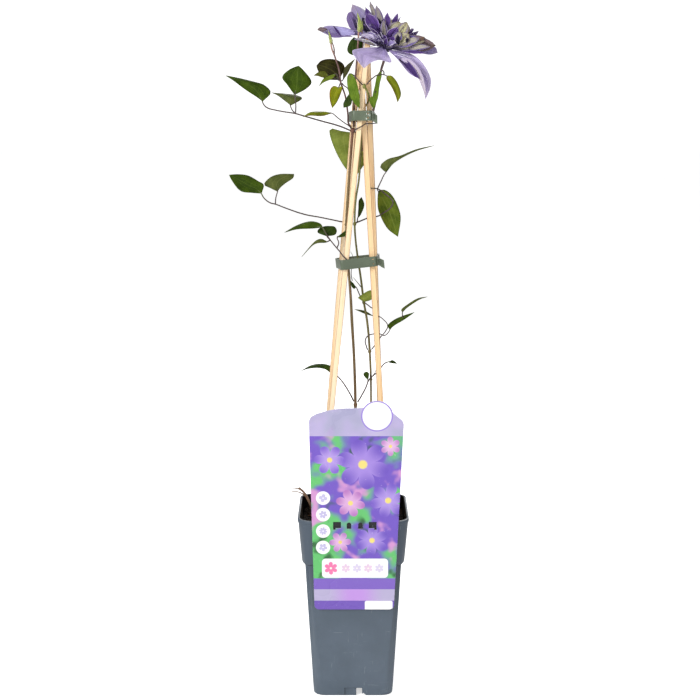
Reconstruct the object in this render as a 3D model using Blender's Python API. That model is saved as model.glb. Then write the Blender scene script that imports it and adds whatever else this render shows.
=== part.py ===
"""A potted clematis on a trellis of four canes.

The plant is drawn in millimetres, with the origin under the middle of the pot, +Z up and -Y towards
the viewer. Each mesh is scaled to metres when it is finished.
"""
import math
import random
from collections import namedtuple

import bmesh
import bpy
from mathutils import Matrix, Vector, noise

MM = 0.001
GAP = 0.3

# Pot
POT_HEIGHT = 202.0
POT_RIM_HALF = 60.0
POT_COLLAR_FOOT = 151.0
POT_COLLAR_FOOT_HALF = 55.4
POT_BODY_TOP_HALF = 52.0
POT_BODY_FOOT_HALF = 43.5
POT_WALL = 1.7
POT_CORNER_RADIUS = 13.0
POT_FLOOR = 2.2
DRAIN_RADIUS = 5.0
DRAIN_OFFSET = 24.0
NOTCH_WIDTH = 7.0
NOTCH_HEIGHT = 9.0
NOTCH_X = 6.0
PANEL_WIDTH = 10.0
PANEL_X = -3.2
PANEL_DEPTH = 0.6

# Soil
SOIL_TOP = 189.0
SOIL_ROUGHNESS = 2.2
MOUND_AT = Vector((47.0, -44.0))
MOUND_HEIGHT = 9.0
MOUND_RADIUS = 9.0

# Trellis
CANE_SIDE = 6.0
CANE_LENGTH = 600.0
CANE_TOP = 710.0
CLIP_BAND = 1.3
CLIP_HEIGHT = 10.6
CLIP_CORNER = 3.2
LOCK_HOLE_RADIUS = 0.75
LOCK_HOLE_FROM_CORNER = 3.0
LOCK_HOLE_Z = 2.2

# Label
LABEL_THICKNESS = 0.8
LABEL_LEAN = math.atan((POT_RIM_HALF - POT_COLLAR_FOOT_HALF) / (POT_HEIGHT - POT_COLLAR_FOOT))
DISC_CENTRE = (24.8, 319.0)
DISC_RADIUS = 17.0
LABEL_STAND = POT_RIM_HALF + GAP + 0.4
LABEL_CORNER = 5.2
LABEL_SHOULDER = 8.3
LABEL_SLOTS = (-17.3, 20.7)
SLOT_WIDTH = 8.5
SLOT_HEIGHT = 7.4
SLOT_LEG = 2.6
SLOT_LEG_HEIGHT = 9.2
LABEL_ARCHES = (-4.6, 7.7)
ARCH_RADIUS = 2.5
ARCH_Z = -3.1
TONGUE_DROP = 8.0

# Plant
BLADE_THICKNESS = 0.8
PLANT_SOLVER = "MANIFOLD"  # thin blades that cross at one foot
PETIOLE_RADIUS = 0.85
PETIOLULE_RADIUS = 0.7
STEM_A_RADIUS = 1.7
STEM_B_RADIUS = 1.25

Leaf = namedtuple("Leaf", "base tip left right depth lift")
Cane = namedtuple("Cane", "name soil top")
Clip = namedtuple("Clip", "name corners height pitch roll tail")

# Each cane passes through one point at soil height and one at its top, as (x, y)
CANES = (
    Cane("cane_front_left", (-36.0, -33.0), (15.4, -7.5)),
    Cane("cane_front_right", (37.7, -33.0), (6.0, 1.5)),
    Cane("cane_back_left", (-36.5, 33.0), (7.7, 8.4)),
    Cane("cane_back_right", (34.4, 33.0), (14.5, 5.5)),
)
CANE_SOIL = 190.0

# Outer corners of each band in plan, front left first, going round by the right
CLIPS = (
    Clip("clip_lower", ((-13.5, -27.0), (25.5, -23.0), (29.4, 23.8), (-19.8, 26.2)), 474.0, 5.0, -6.2, 8.5),
    Clip("clip_upper", ((-1.2, -19.4), (19.5, -19.0), (23.6, 16.8), (-5.2, 18.0)), 629.0, 2.0, -0.5, 7.0),
)

STEM_A = (
    (5, 4, 160), (4, 3, 200), (3, 2, 243), (3, 1, 288), (2.5, 0, 315), (2, 0, 339), (0.5, -1, 378),
    (-1.5, -2, 411), (-3, -3, 440), (-5, -3, 465), (-6.5, -2, 485), (-7.5, 0, 508), (-6, 2, 540),
    (-3, 3, 583), (-1.5, 2.5, 604), (-0.5, 2, 614),
)
STEM_A_NODES = ((2.5, 0, 317, 2.3), (-7.3, 0, 514, 2.1), (-0.5, 2, 614, 2.5))
STEM_B = (
    (9, 6, 160), (11, 5, 200), (14, 4, 243), (18.5, 3, 288), (19.5, 2, 330), (18, 2, 376), (15, 2, 410),
    (11.5, 2, 430), (8.5, 2, 454), (4.5, 1, 481), (2.5, 0, 498), (1.5, -1, 515), (2.5, 0, 540),
    (6, 1.5, 562), (8, 2.5, 594), (10, 3, 630), (12, 3, 638), (15.6, 0, 644), (16.6, -7, 649),
    (14.6, -13.5, 655), (11.5, -17, 660),
)
STEM_B_NODES = (
    (19.5, 2, 345, 1.7), (18, 2, 376, 2.0), (11.5, 2, 430, 1.9), (1.5, -1, 515, 1.9), (7.4, 2, 588, 1.7),
    (11.5, -17, 660, 2.0),
)

TWIG_RADIUS = 1.5
TWIG = ((-45, 36, 172), (-46, 37, 181), (-48, 39.5, 191), (-52, 45, 200), (-56.5, 52, 205.5),
        (-62, 58, 208.5))
TWIG_BRANCHES = (
    (TWIG, TWIG_RADIUS, None),
    (((-52, 45, 200), (-58, 50, 204), (-65, 56, 205), (-70, 60, 204)), 0.9, None),
    (((-56.5, 52, 205.5), (-61, 54, 208), (-67, 56, 209), (-71, 58, 208.5)), 0.9, None),
)

# The bloom and its stalk
BLOOM_HEART = (35.0, 0.0, 703.5)
BLOOM_CORE = 8.5
BLOOM_SEED = 7
BACK_SEPAL_LENGTH = 66.0
BACK_SEPAL_WIDTH = 27.0
BACK_PETAL_WIDTH = 10.0
BLOOM_STALK = (
    (9.9, 4, 593), (9, 10, 601), (10, 16.4, 608.5), (14, 18, 614.5), (18, 21, 622), (20.5, 21.5, 631),
    (23, 20, 641), (25.5, 14, 653.5), (27.5, 8, 666), (29.5, 4, 677.5), (32.5, 1, 687.5),
    (34.4, 0, 695.1),
)
SEPALS = (
    Leaf((32.5, 703.5), (-37.5, 718.5), ((17.5, 715.5), (-1.5, 719), (-13, 722), (-27.5, 723)),
         ((20.8, 712.4), (3, 712.8), (-8.5, 712.8), (-17, 711), (-28.5, 714)), (2, -4), (2, -2)),
    Leaf((32.5, 705.5), (-1, 747), ((15.5, 711), (0.5, 723.5), (-3, 737)),
         ((30.5, 720), (22, 732.5), (9.5, 743)), (7.5, 24), (0, 8)),
    Leaf((31.5, 703), (-5.5, 737), ((19.5, 710.5), (9, 713.5), (-0.5, 717.5), (-7, 729)),
         ((20, 717), (6, 729.5), (-1, 738)), (4.5, 10), (-2, 4)),
    Leaf((33, 700), (11, 678), ((19.5, 700), (4, 697.5), (-1, 695), (4, 686.5)),
         ((36.5, 693.5), (39.5, 684.5), (27.5, 687), (18, 684)), (-4, -34), (-6, -3)),
    Leaf((36.5, 698.5), (75.5, 646.5), ((58.5, 694.5), (71, 686), (80.5, 670.5), (80.5, 658.5)),
         ((46.5, 688), (58, 673.5), (69.5, 666.5), (73.5, 655)), (-4, -24), (4, -8)),
    Leaf((36.5, 700), (89.5, 695.5), ((55, 706), (74, 703.5), (86.5, 702)),
         ((54.5, 696), (70.5, 694.5), (82, 693.5)), (3, 8), (5, -3)),
)
INNER_PETALS = (
    Leaf((32.5, 705), (12.5, 742.5), ((19.5, 722), (13.5, 734)), ((26, 723), (18, 737.5)), (0, 4), (0, 2)),
    Leaf((33.5, 706.5), (17.5, 749.5), ((23, 727.5), (17.5, 741)), ((28.5, 728.5), (22.5, 741)), (3, 10),
         (2, 0)),
    Leaf((34.5, 706.5), (24.5, 744.5), ((25, 727), (23, 738.5)), ((32.5, 727), (29.5, 737.5)), (2, 5),
         (1, -1)),
    Leaf((35.5, 705.5), (36, 737), ((29.5, 720), (32, 729)), ((39.5, 721), (38.5, 730)), (1, 2), (2, 0)),
    Leaf((36.5, 705.5), (47, 736.5), ((36.5, 720), (41.5, 729.5)), ((43, 719), (47, 730)), (2, 8), (2, 0)),
    Leaf((32, 705), (13, 734.5), ((21.5, 714), (12.5, 726)), ((30, 718), (23, 731.5)), (-4, -14), (-3, 1)),
    Leaf((31.5, 703), (6.5, 712), ((18.5, 713), (11, 714.5)), ((21.5, 704.5), (13, 709.5)), (-5, -20),
         (2, -2)),
    Leaf((31, 701), (-0.5, 708), ((17.5, 706.5), (7, 709.5)), ((17.5, 702.5), (7, 706.5)), (-9, -20),
         (0, -1)),
    Leaf((35.5, 706), (49, 726.5), ((35, 718.5), (39.5, 725.5)), ((43.5, 715), (50, 721.5)), (-2, -6),
         (2, -2)),
    Leaf((37.5, 704), (56, 726), ((39.5, 716.5), (44.5, 725)), ((51, 710), (59, 718)), (-3, -8), (4, -2)),
    Leaf((38.5, 702), (58, 713.5), ((44.5, 712), (52, 716)), ((51, 701), (58, 706.5)), (-6, -16), (3, -2)),
    Leaf((39, 704.5), (64, 720.5), ((50.5, 716),), ((57.5, 712),), (4, 6), (1, -1)),
    Leaf((40, 703.5), (69.5, 718.5), ((55, 714),), ((62, 710),), (5, 12), (1, -1)),
    Leaf((39.5, 701), (75, 711), ((55.5, 710), (66, 713)), ((57.5, 700.5), (69, 703)), (-2, -10), (3, -2)),
    Leaf((38.5, 700), (87, 703), ((57.5, 706.5), (74.5, 709.5)), ((59.5, 697), (77.5, 697.5)), (0, -2),
         (4, -3)),
    Leaf((36, 699), (34, 710), ((32, 702.5), (31.5, 707)), ((43.5, 701.5), (41.5, 708)), (-6.5, -17),
         (2, 3)),
    Leaf((33.5, 705), (31.5, 728.5), ((29, 715), (29, 723.5)), ((35.5, 715), (34, 723.5)), (-5, -11),
         (0, 0)),
    Leaf((36, 702), (46, 721), ((34, 711), (37.5, 718)), ((45.5, 708), (47.5, 716)), (-5, -12), (0, 1)),
)

# Buds: the one that stands at the left has a stalk that forks
BUD_LEFT_STALK = (
    (-2.3, 1.5, 617.2), (-5.2, 0, 622), (-5.6, -1, 629), (-6.4, -2.5, 637), (-8.5, -4, 650),
    (-11.5, -5, 659), (-13.5, -6, 665),
    (-14.2, -6.5, 672), (-15.5, -7.5, 679), (-17.8, -8.5, 686), (-20, -9, 692.5), (-22.6, -10, 699),
    (-23.6, -10, 706),
)
BUD_LEFT_STRAND = ((-20, -9, 692.5), (-20.2, -8.6, 699), (-22.6, -9.6, 706.5))
BUD_LEFT = ((-22.9, -10, 703), (-24, -10, 709), (-26.2, -10, 716.5))
BUD_CENTRE_STALK = (
    (0.5, 3.2, 617.4), (0.6, 4, 627), (0.6, 4, 636), (1.3, 1.5, 652), (2, -3, 667), (3, -7, 679),
    (4, -9, 692),
    (5, -10, 705), (5.6, -11, 716),
)
BUD_CENTRE = ((5.6, -11, 713), (7.2, -12, 723), (4.6, -13, 736))

# Leafy sprays: each branch is a route, its radius and the leaf at its end
SPRAYS = {
    "spray_top_left": (
        (((-3.1, 0, 614), (-14, -2, 618.5), (-35.5, -5, 624.5), (-53, -8, 629.5), (-61, -9, 631.8),
          (-72, -11, 633.5),
          (-82.5, -12, 635.5), (-91, -13, 638), (-94.5, -13, 641.5)), PETIOLE_RADIUS,
         Leaf((-95, 644.5), (-133, 671), ((-86.5, 653.5), (-93.5, 661.5), (-102.5, 664.5), (-119, 668.5)),
              ((-100.5, 648.5), (-112, 656), (-124.5, 665.5)), (-13, -24), (5, -3))),
        (((-61, -9, 631.8), (-64.5, -9.5, 635.5)), PETIOLULE_RADIUS,
         Leaf((-66, 640), (-87.5, 654), ((-54, 647.5), (-61, 651.5), (-73.5, 653)),
              ((-74, 646), (-81, 651)), (-9, 4), (9, 9))),
        (((-61, -9, 631.8), (-60.5, -12, 640.5)), PETIOLULE_RADIUS,
         Leaf((-61.5, 651), (-57.5, 681.5), ((-69, 661.5), (-74.5, 669.5), (-67.5, 677)),
              ((-49, 658), (-44, 665.5), (-52, 676.5)), (-13, -9), (-4, 5))),
    ),
    "leaf_narrow_left": (
        (((-2.3, -0.3, 616.4), (-4.2, -2.3, 618.6), (-10, -4, 622.5), (-16, -6, 627)), PETIOLULE_RADIUS,
         Leaf((-22.5, 632.5), (-53, 628.5), ((-31, 634), (-45, 633.5)), ((-33, 629.5), (-45.5, 630)),
              (-7, -14), (5, -5))),
    ),
    "leaf_behind_canes": (
        (((1.2, 4.4, 614.8), (5.4, 9, 616.5), (5.6, 15, 616.5), (4.6, 20, 614.5)), PETIOLE_RADIUS,
         Leaf((1.5, 611.5), (1, 563), ((-13, 613.5), (-25.5, 615.5), (-22, 598.5), (-11, 577)),
              ((9.5, 611.5), (18, 602.5), (16, 585.5), (8.5, 572.5)), (20.6, 20.8), (3, 2))),
    ),
    "tendril_upper_right": (
        (((2.1, 0.2, 612), (1.3, -8, 613), (1.4, -14.5, 614.5), (5, -17.8, 616.5), (9.8, -17, 619),
          (12.5, -13.5, 621), (17, -9.5, 621.3), (21.5, -3, 621.5), (23.6, 4, 621.5), (23.6, 12, 621.5),
          (21, 15.8, 621.5)), PETIOLULE_RADIUS, None),
    ),
    "spray_mid_left": (
        (((-5.4, 2.4, 515.4), (-3.5, 8, 515), (-3.6, 16, 515), (-5, 22.3, 515.5), (-11, 22.8, 515.5),
          (-20, 18, 517.5),
          (-36, 8, 521.5), (-52, 0, 525), (-73, -7, 532.5), (-83, -9, 536.5), (-88.5, -10, 538),
          (-95, -10, 543)),
         PETIOLE_RADIUS,
         Leaf((-97.5, 548), (-131, 568), ((-95, 557), (-101, 561), (-111.5, 567), (-122.5, 568.5)),
              ((-108, 549), (-119, 551), (-127, 560.5)), (-10, -20), (4, -4))),
        (((-83, -9, 536.5), (-82.5, -9, 543)), PETIOLULE_RADIUS,
         Leaf((-81, 550), (-63.5, 568), ((-89, 553.5), (-95.5, 557), (-89, 564.5), (-78.5, 568)),
              ((-78, 554), (-72, 559), (-64.5, 564)), (-8, 6), (3, -3))),
    ),
    "spray_low_left": (
        (((-3.4, -4.6, 468), (-1.8, -12, 470), (-1.6, -19, 472.5), (-2.8, -22.6, 474.5), (-5, -23.4, 476.8),
          (-8.5, -23.3, 480), (-11.8, -22.6, 483.5), (-14.5, -18.5, 487),
          (-17.5, -14, 490), (-24.5, -12.5, 498.5), (-29.5, -12.5, 506)), PETIOLE_RADIUS,
         Leaf((-32.5, 512.5), (-73, 507.5), ((-35.5, 516.5), (-46, 518.5), (-60, 514.5)),
              ((-42, 511.5), (-59.5, 511)), (-13, -22), (6, -3))),
        (((-24.5, -12.5, 498.5),), PETIOLULE_RADIUS,
         Leaf((-28.5, 502.5), (-21.5, 513), ((-38, 506), (-36.5, 510.5), (-30, 513)),
              ((-20, 503.5), (-17.5, 507.5), (-19, 511.5)), (-12, -6), (2, 2))),
        (((-17.5, -14, 490), (-15.5, -13.5, 495.5)), PETIOLULE_RADIUS,
         Leaf((-17.5, 501.5), (-2.5, 509.5), ((-13, 505), (-7, 509)), ((-11, 502), (-4, 504)), (-12, -6),
              (2, -2))),
        (((-24.5, -12.5, 498.5),), PETIOLULE_RADIUS,
         Leaf((-27.5, 497), (-55, 481.5), ((-34.5, 500), (-42, 496.5)), ((-35.5, 496.5), (-43.5, 493.5)),
              (-13, -22), (2, -2))),
    ),
    "spray_base_left": (
        (((0.6, 2, 320.5), (-2, 5, 325.5), (-9, 14, 336), (-16, 25, 343), (-20.5, 31, 345.5)),
         PETIOLE_RADIUS,
         Leaf((-23.5, 347), (-58, 350), ((-22, 353), (-33.5, 357), (-47, 355.5)),
              ((-29, 351.5), (-39, 354), (-50, 353)), (31, 28), (5, -4))),
    ),
    "spray_base_right": (
        (((5, -1.4, 320.5), (9.5, -3, 328.5), (14, -3.5, 337.5), (17, -3, 345), (21, -1, 349), (25, 1, 352),
          (30, 2, 357.5), (34, 1.5, 362.5)), PETIOLE_RADIUS,
         Leaf((38, 364.5), (48, 363.5), ((43, 366.5),), ((42, 364),), (1, -3), (2, -2))),
        (((14, -3.5, 337.5), (15.5, -3.5, 342)), PETIOLULE_RADIUS,
         Leaf((16, 345), (14, 354.5), ((12.5, 348.5), (11, 352)), ((17, 349), (17, 353)), (-3.3, -2.5),
              (0, 0))),
    ),
    "spray_lower_loop": (
        (((15.7, 0.6, 377.8), (14, -1, 383), (13, -3, 388), (14.5, -4, 392.5), (18, -4, 395),
          (23, -3.5, 396),
          (29, 0, 395.5), (34, 2, 393.5), (38, 2, 396.5)), PETIOLULE_RADIUS,
         Leaf((39.5, 400), (66, 420), ((37.5, 405), (44.5, 411), (54, 415.5)), ((44, 405), (54, 411.5)),
              (1, -5), (3, -3))),
        (((54.3, -3.4, 413.4), (53.2, -1, 417)), PETIOLULE_RADIUS,
         Leaf((53, 419.5), (80, 437), ((52, 422.5), (59.5, 428.5), (70, 435)), ((56.5, 423.5),
                                                                                (64, 429.5), (72, 434.5)),
              (-1, -6), (2, -3))),
    ),
    "spray_lower_right": (
        (((20, 3.2, 377.8), (23, 5, 381.5), (26.5, 7, 386), (30, 7.5, 391), (35.5, 6, 398), (37.5, 5, 404),
          (32.5, 8, 410.5), (28, 9, 413.5)), PETIOLULE_RADIUS,
         Leaf((22, 414), (1.5, 421.5), ((13, 419.5),), ((12, 417),), (9, 9), (1, -1))),
    ),
    "spray_upper_loop": (
        (((13.3, -0.2, 429), (16.5, -3, 427), (21, -5.5, 424.5), (25, -7, 428), (25.5, -7.5, 434)),
         PETIOLULE_RADIUS,
         Leaf((23, 439.5), (5, 435.5), ((19, 444), (12, 441)), ((19.5, 433.5), (11.5, 431.5)), (-7, -6),
              (-2, 2))),
    ),
    "spray_upper_small": (
        (((9.6, 0.6, 432.2), (8, -1, 436), (6, -2, 440.5)), PETIOLULE_RADIUS,
         Leaf((3, 447), (-3, 454.5), ((0.5, 451),), ((1, 445), (-2, 448.5)), (-3, -6.5), (0, 0))),
    ),
    "spray_right": (
        (((2.8, 0.6, 516), (7.5, 6, 517.5), (12.5, 14, 519), (17.5, 21, 520.5), (23.5, 22, 521),
          (27.8, 17, 522.5),
          (30, 9, 524.5), (33.5, 5, 527), (38, 2.5, 530), (42, 2.5, 535), (42.5, 4, 538.5), (40, 5.5, 542),
          (35, 7, 546), (30, 8, 550), (26, 8.3, 552), (22.5, 8.3, 552.5), (17, 8.5, 552.3), (15.2, 13, 552),
          (16.5, 18.4, 551.5)), PETIOLE_RADIUS, None),
        (((26, 8.3, 552), (30, 7, 560.5), (33, 5, 567)), PETIOLULE_RADIUS,
         Leaf((34.5, 570), (85.5, 598.5), ((29.5, 574), (29, 577.5), (37, 584), (50, 587.5), (67, 594.5)),
              ((36.5, 574), (47.5, 583), (64.5, 592)), (4, -8), (3, -3))),
        (((26, 8.3, 552), (26.2, 10, 551)), PETIOLULE_RADIUS,
         Leaf((26.8, 549.5), (48.5, 500), ((33, 551), (41, 546), (47.5, 535), (51.5, 520.5)),
              ((26.2, 539.5), (27.6, 527), (36.5, 509.5)), (13, 11), (3, 4))),
        (((4.2, 2.2, 516.4),), PETIOLULE_RADIUS,
         Leaf((4.6, 520), (9, 543.5), ((5.4, 529.5), (5.9, 539.5)), ((8.5, 525), (12, 535)), (3.8, 5),
              (0, 1))),
    ),
    "spray_bud_cluster": (
        (((-14.8, -4.6, 666.4), (-15.2, -3, 667)), PETIOLE_RADIUS,
         Leaf((-15, 667), (-39, 681.5), ((-9, 679.5), (-14, 686.5), (-24.5, 689), (-34, 687)),
              ((-20.5, 667), (-29.5, 668), (-36, 674)), (-1, -3), (5, -2))),
        (((-14.8, -4.6, 666.4), (-12, -3.4, 666)), PETIOLULE_RADIUS,
         Leaf((-11, 667), (1.4, 688.5), ((-10.5, 677), (-6.5, 682.5)), ((-6, 674), (-2.5, 681)), (-3, -5),
              (2, -2))),
        (((-14.8, -4.6, 666.4), (-20, -5.5, 669)), PETIOLULE_RADIUS,
         Leaf((-25.5, 671.5), (-41.5, 671.5), ((-30.5, 676), (-36.5, 675)), ((-31.5, 669.5), (-37, 671)),
              (-6, -10), (1, -2))),
    ),
    "leaf_thin_left": (
        (((-15.4, -8, 667), (-16.4, -9, 670.5)), PETIOLULE_RADIUS,
         Leaf((-18, 673.5), (-36, 660.5), ((-24.5, 671.5), (-31.5, 668)), ((-22.5, 668), (-31, 664.5)),
              (-9.5, -13), (2, -1))),
    ),
    "leaf_yellow": (
        (((-13.8, -7.8, 663.2),), PETIOLULE_RADIUS,
         Leaf((-15.5, 659), (-22, 637.5), ((-20.5, 660.5), (-24.5, 656), (-24.5, 646)),
              ((-11.5, 660), (-13, 653), (-17, 644)), (-9, -11), (-2, 2))),
    ),
    "leaf_dark_right": (
        (((-11.8, -7.4, 663.4), (-10, -8.5, 661), (-6.5, -9.5, 658.5)), PETIOLULE_RADIUS,
         Leaf((-4, 653), (-10.5, 638), ((-7.2, 648.5), (-10.4, 643)), ((-1.5, 647), (-2.5, 641), (-6, 639)),
              (-10.5, -10.5), (1, -1))),
    ),
    "spray_top_centre": (
        (((9.6, -17.8, 661.5), (6.5, -18.4, 664.5), (3, -18.6, 668.5), (-1, -18.4, 672.5)),
         PETIOLULE_RADIUS,
         Leaf((-4, 673.5), (6.5, 636.5), ((-6.5, 669.5), (-6, 659), (-2, 646.5)),
              ((-0.5, 671.5), (3.5, 663.5), (6.5, 649)), (-18, -18), (1, -1))),
    ),
    "spray_top_right": (
        (((14, -17.6, 661.8), (17, -18, 665.5), (20.5, -18.5, 668.5), (24, -19, 671), (30, -19, 672)),
         PETIOLULE_RADIUS,
         Leaf((35, 671), (46.5, 643.5), ((40.5, 670.5), (46.5, 663), (50, 652)), ((35, 667), (40, 659.5),
                                                                                  (44, 651)),
              (-18, -22), (2, -3))),
        (((32, -18.8, 671.8), (31.2, -19.4, 675.6)), PETIOLULE_RADIUS,
         Leaf((28.5, 676.5), (21, 636), ((24.5, 670.5), (22.5, 660.5), (20, 649)), ((29.5, 671.5),
                                                                                    (27, 661), (25.5, 648)),
              (-19, -15), (1, -2))),
        (((23.4, -17.2, 655),), PETIOLULE_RADIUS,
         Leaf((21.5, 650), (20.5, 637.5), ((17.5, 648.5), (17, 644)), ((22.3, 645),), (-14.6, -11.5), (1, 0))),
    ),
    "leaf_behind_bloom": (
        (((4.4, -6.4, 689.6),), PETIOLULE_RADIUS,
         Leaf((4, 692.5), (0.5, 709.5), ((-3.5, 693.5), (-6.5, 698), (-4, 706)), ((6.5, 696.5), (6.5, 705)),
              (-5.5, -5), (1, 0))),
    ),
}


def clear_scene():
    for scene_object in list(bpy.data.objects):
        bpy.data.objects.remove(scene_object, do_unlink=True)


def material(name, rgb, roughness):
    """A plain surface, its colour given as it looks on screen, 0 to 255."""
    surface = bpy.data.materials.new(name)
    surface.use_nodes = True
    shader = surface.node_tree.nodes["Principled BSDF"]
    linear = [(channel / 255.0) ** 2.2 for channel in rgb]
    shader.inputs["Base Color"].default_value = (*linear, 1.0)
    shader.inputs["Roughness"].default_value = roughness
    surface.diffuse_color = (*linear, 1.0)
    return surface


def object_from(bm, name):
    """A mesh object, still in millimetres, with its faces turned outward."""
    bmesh.ops.recalc_face_normals(bm, faces=bm.faces)
    mesh = bpy.data.meshes.new(name)
    bm.to_mesh(mesh)
    bm.free()
    made = bpy.data.objects.new(name, mesh)
    bpy.context.scene.collection.objects.link(made)
    return made


def combine(body, others, operation, solver="EXACT"):
    """Joins others to body, or cuts them from it, and removes them."""
    if not others:
        return body
    tools = bpy.data.collections.new("tools")
    bpy.context.scene.collection.children.link(tools)
    for other in others:
        tools.objects.link(other)
    boolean = body.modifiers.new("combine", "BOOLEAN")
    boolean.operation = operation
    boolean.operand_type = "COLLECTION"
    boolean.collection = tools
    boolean.solver = solver
    evaluated = body.evaluated_get(bpy.context.evaluated_depsgraph_get())
    result = bpy.data.meshes.new_from_object(evaluated)
    body.modifiers.clear()
    body.data = result
    for other in others:
        bpy.data.objects.remove(other, do_unlink=True)
    bpy.data.collections.remove(tools)
    return body


def finish(body, name, surface, sharp_angle=40.0):
    """Scales a body to metres, names it and gives it its material."""
    body.name = name
    body.data.name = name
    body.data.transform(Matrix.Scale(MM, 4))
    body.data.materials.clear()
    body.data.materials.append(surface)
    body.data.shade_smooth()
    body.data.set_sharp_from_angle(angle=math.radians(sharp_angle))
    return body


def through(points, per_span):
    """A smooth curve through the points, with per_span steps from each to the next."""
    knots = [Vector(point) for point in points]
    ends = [2 * knots[0] - knots[1], *knots, 2 * knots[-1] - knots[-2]]
    curve = []
    for before, start, end, after in zip(ends, ends[1:], ends[2:], ends[3:]):
        for step in range(per_span):
            t = step / per_span
            bend = (2 * start
                    + t * (end - before)
                    + t * t * (2 * before - 5 * start + 4 * end - after)
                    + t ** 3 * (3 * start - before - 3 * end + after))
            curve.append(bend / 2)
    return [*curve, knots[-1]]


def evenly(points, count):
    """The curve through the points, read at count + 1 places spaced evenly along it."""
    curve = through(points, 6)
    reach = [0.0]
    for start, end in zip(curve, curve[1:]):
        reach.append(reach[-1] + (end - start).length)
    places = []
    span = 0
    for index in range(count + 1):
        wanted = reach[-1] * index / count
        while span < len(curve) - 2 and reach[span + 1] < wanted:
            span += 1
        share = (wanted - reach[span]) / (reach[span + 1] - reach[span])
        places.append(curve[span].lerp(curve[span + 1], share))
    return places


def stalk(route, radius, end_radius=None, sides=6, per_span=1):
    """A closed tapering tube along a smooth route."""
    end_radius = radius if end_radius is None else end_radius
    line = through(route, per_span)
    bm = bmesh.new()
    across = Vector((0.0, 1.0, 0.0))
    rings = []
    for index, place in enumerate(line):
        along = (line[min(index + 1, len(line) - 1)] - line[max(index - 1, 0)]).normalized()
        across = (across - along * across.dot(along)).normalized()
        other = along.cross(across)
        size = radius + (end_radius - radius) * index / (len(line) - 1)
        ring = []
        for side in range(sides):
            turn = math.tau * side / sides
            ring.append(bm.verts.new(place + size * (math.cos(turn) * across + math.sin(turn) * other)))
        rings.append(ring)
    loft(bm, rings)
    return object_from(bm, "stalk")


def loft(bm, rings):
    """Faces between rings of equal count, and a cap at each end."""
    for lower, upper in zip(rings, rings[1:]):
        for index in range(len(lower)):
            beside = (index + 1) % len(lower)
            bm.faces.new((lower[index], lower[beside], upper[beside], upper[index]))
    bm.faces.new(rings[0])
    bm.faces.new(rings[-1])


def knob(place, radius, stretch=1.3):
    """A swelling, longer than it is wide."""
    bm = bmesh.new()
    bmesh.ops.create_uvsphere(bm, u_segments=8, v_segments=6, radius=radius)
    bmesh.ops.scale(bm, vec=(1.0, 1.0, stretch), verts=bm.verts)
    bmesh.ops.translate(bm, vec=Vector(place), verts=bm.verts)
    return object_from(bm, "knob")


def blade_point(leaf, t, across):
    """A point of a leaf's middle surface: t from base to tip, across from its left edge to its right.

    The midrib leaves the base straight for the tip, and further on it keeps halfway between the edges.
    """
    rows = 24
    edges = []
    for side in (leaf.left, leaf.right):
        outline = [(x, 0.0, z) for x, z in (leaf.base, *side, leaf.tip)]
        edge = evenly(outline, rows)
        low = min(int(t * rows), rows - 1)
        edges.append(edge[low].lerp(edge[low + 1], t * rows - low))
    straight = Vector((leaf.base[0], 0.0, leaf.base[1])).lerp(Vector((leaf.tip[0], 0.0, leaf.tip[1])), t)
    midrib = edges[0].lerp(edges[1], 0.5).lerp(straight, (1 - t) ** 3)
    edge = edges[0] if across < 0.5 else edges[1]
    point = midrib.lerp(edge, abs(2 * across - 1))
    lift = leaf.lift[0] if across < 0.5 else leaf.lift[1]
    point.y = leaf.depth[0] + (leaf.depth[1] - leaf.depth[0]) * t
    point.y += lift * (1 - 2 * across) ** 2 * math.sin(math.pi * t)
    return point


def sheet(point_at, rows, columns):
    """One thin closed sheet, alike on both faces, pointed at its base and its tip."""
    along = point_at(1.0, 0.5) - point_at(0.0, 0.5)
    across = point_at(0.5, 1.0) - point_at(0.5, 0.0)
    offset = along.cross(across).normalized() * BLADE_THICKNESS / 2
    bm = bmesh.new()
    rims = []
    for shift in (offset, -offset):
        base = bm.verts.new(point_at(0.0, 0.5) + shift)
        tip = bm.verts.new(point_at(1.0, 0.5) + shift)
        grid = []
        for row in range(1, rows):
            places = [point_at(row / rows, column / columns) + shift for column in range(columns + 1)]
            grid.append([bm.verts.new(place) for place in places])
        for column in range(columns):
            bm.faces.new((base, grid[0][column + 1], grid[0][column]))
            bm.faces.new((tip, grid[-1][column], grid[-1][column + 1]))
            for lower, upper in zip(grid, grid[1:]):
                bm.faces.new((lower[column], lower[column + 1], upper[column + 1]))
                bm.faces.new((lower[column], upper[column + 1], upper[column]))
        left = [row[0] for row in grid]
        right = [row[-1] for row in reversed(grid)]
        rims.append([base, *left, tip, *right])
    front, back = rims
    for index in range(len(front)):
        beside = (index + 1) % len(front)
        bm.faces.new((front[index], front[beside], back[beside], back[index]))
    return object_from(bm, "sheet")


def blade(leaf, rows=6, columns=2):
    return sheet(lambda t, across: blade_point(leaf, t, across), rows, columns)


def spray(name, surface, branches):
    """A leaf stalk with its leaves, fused: each branch is a route, a radius and a leaf or None."""
    pieces = []
    for route, radius, leaf in branches:
        if leaf:
            pieces.append(blade(leaf))
            route = [*route, tuple(blade_point(leaf, 0.04, 0.5)), tuple(blade_point(leaf, 0.2, 0.5))]
        if len(route) > 1:
            pieces.append(stalk(route, radius, radius * 0.8))
    return finish(combine(pieces[0], pieces[1:], "UNION", PLANT_SOLVER), name, surface)


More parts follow.
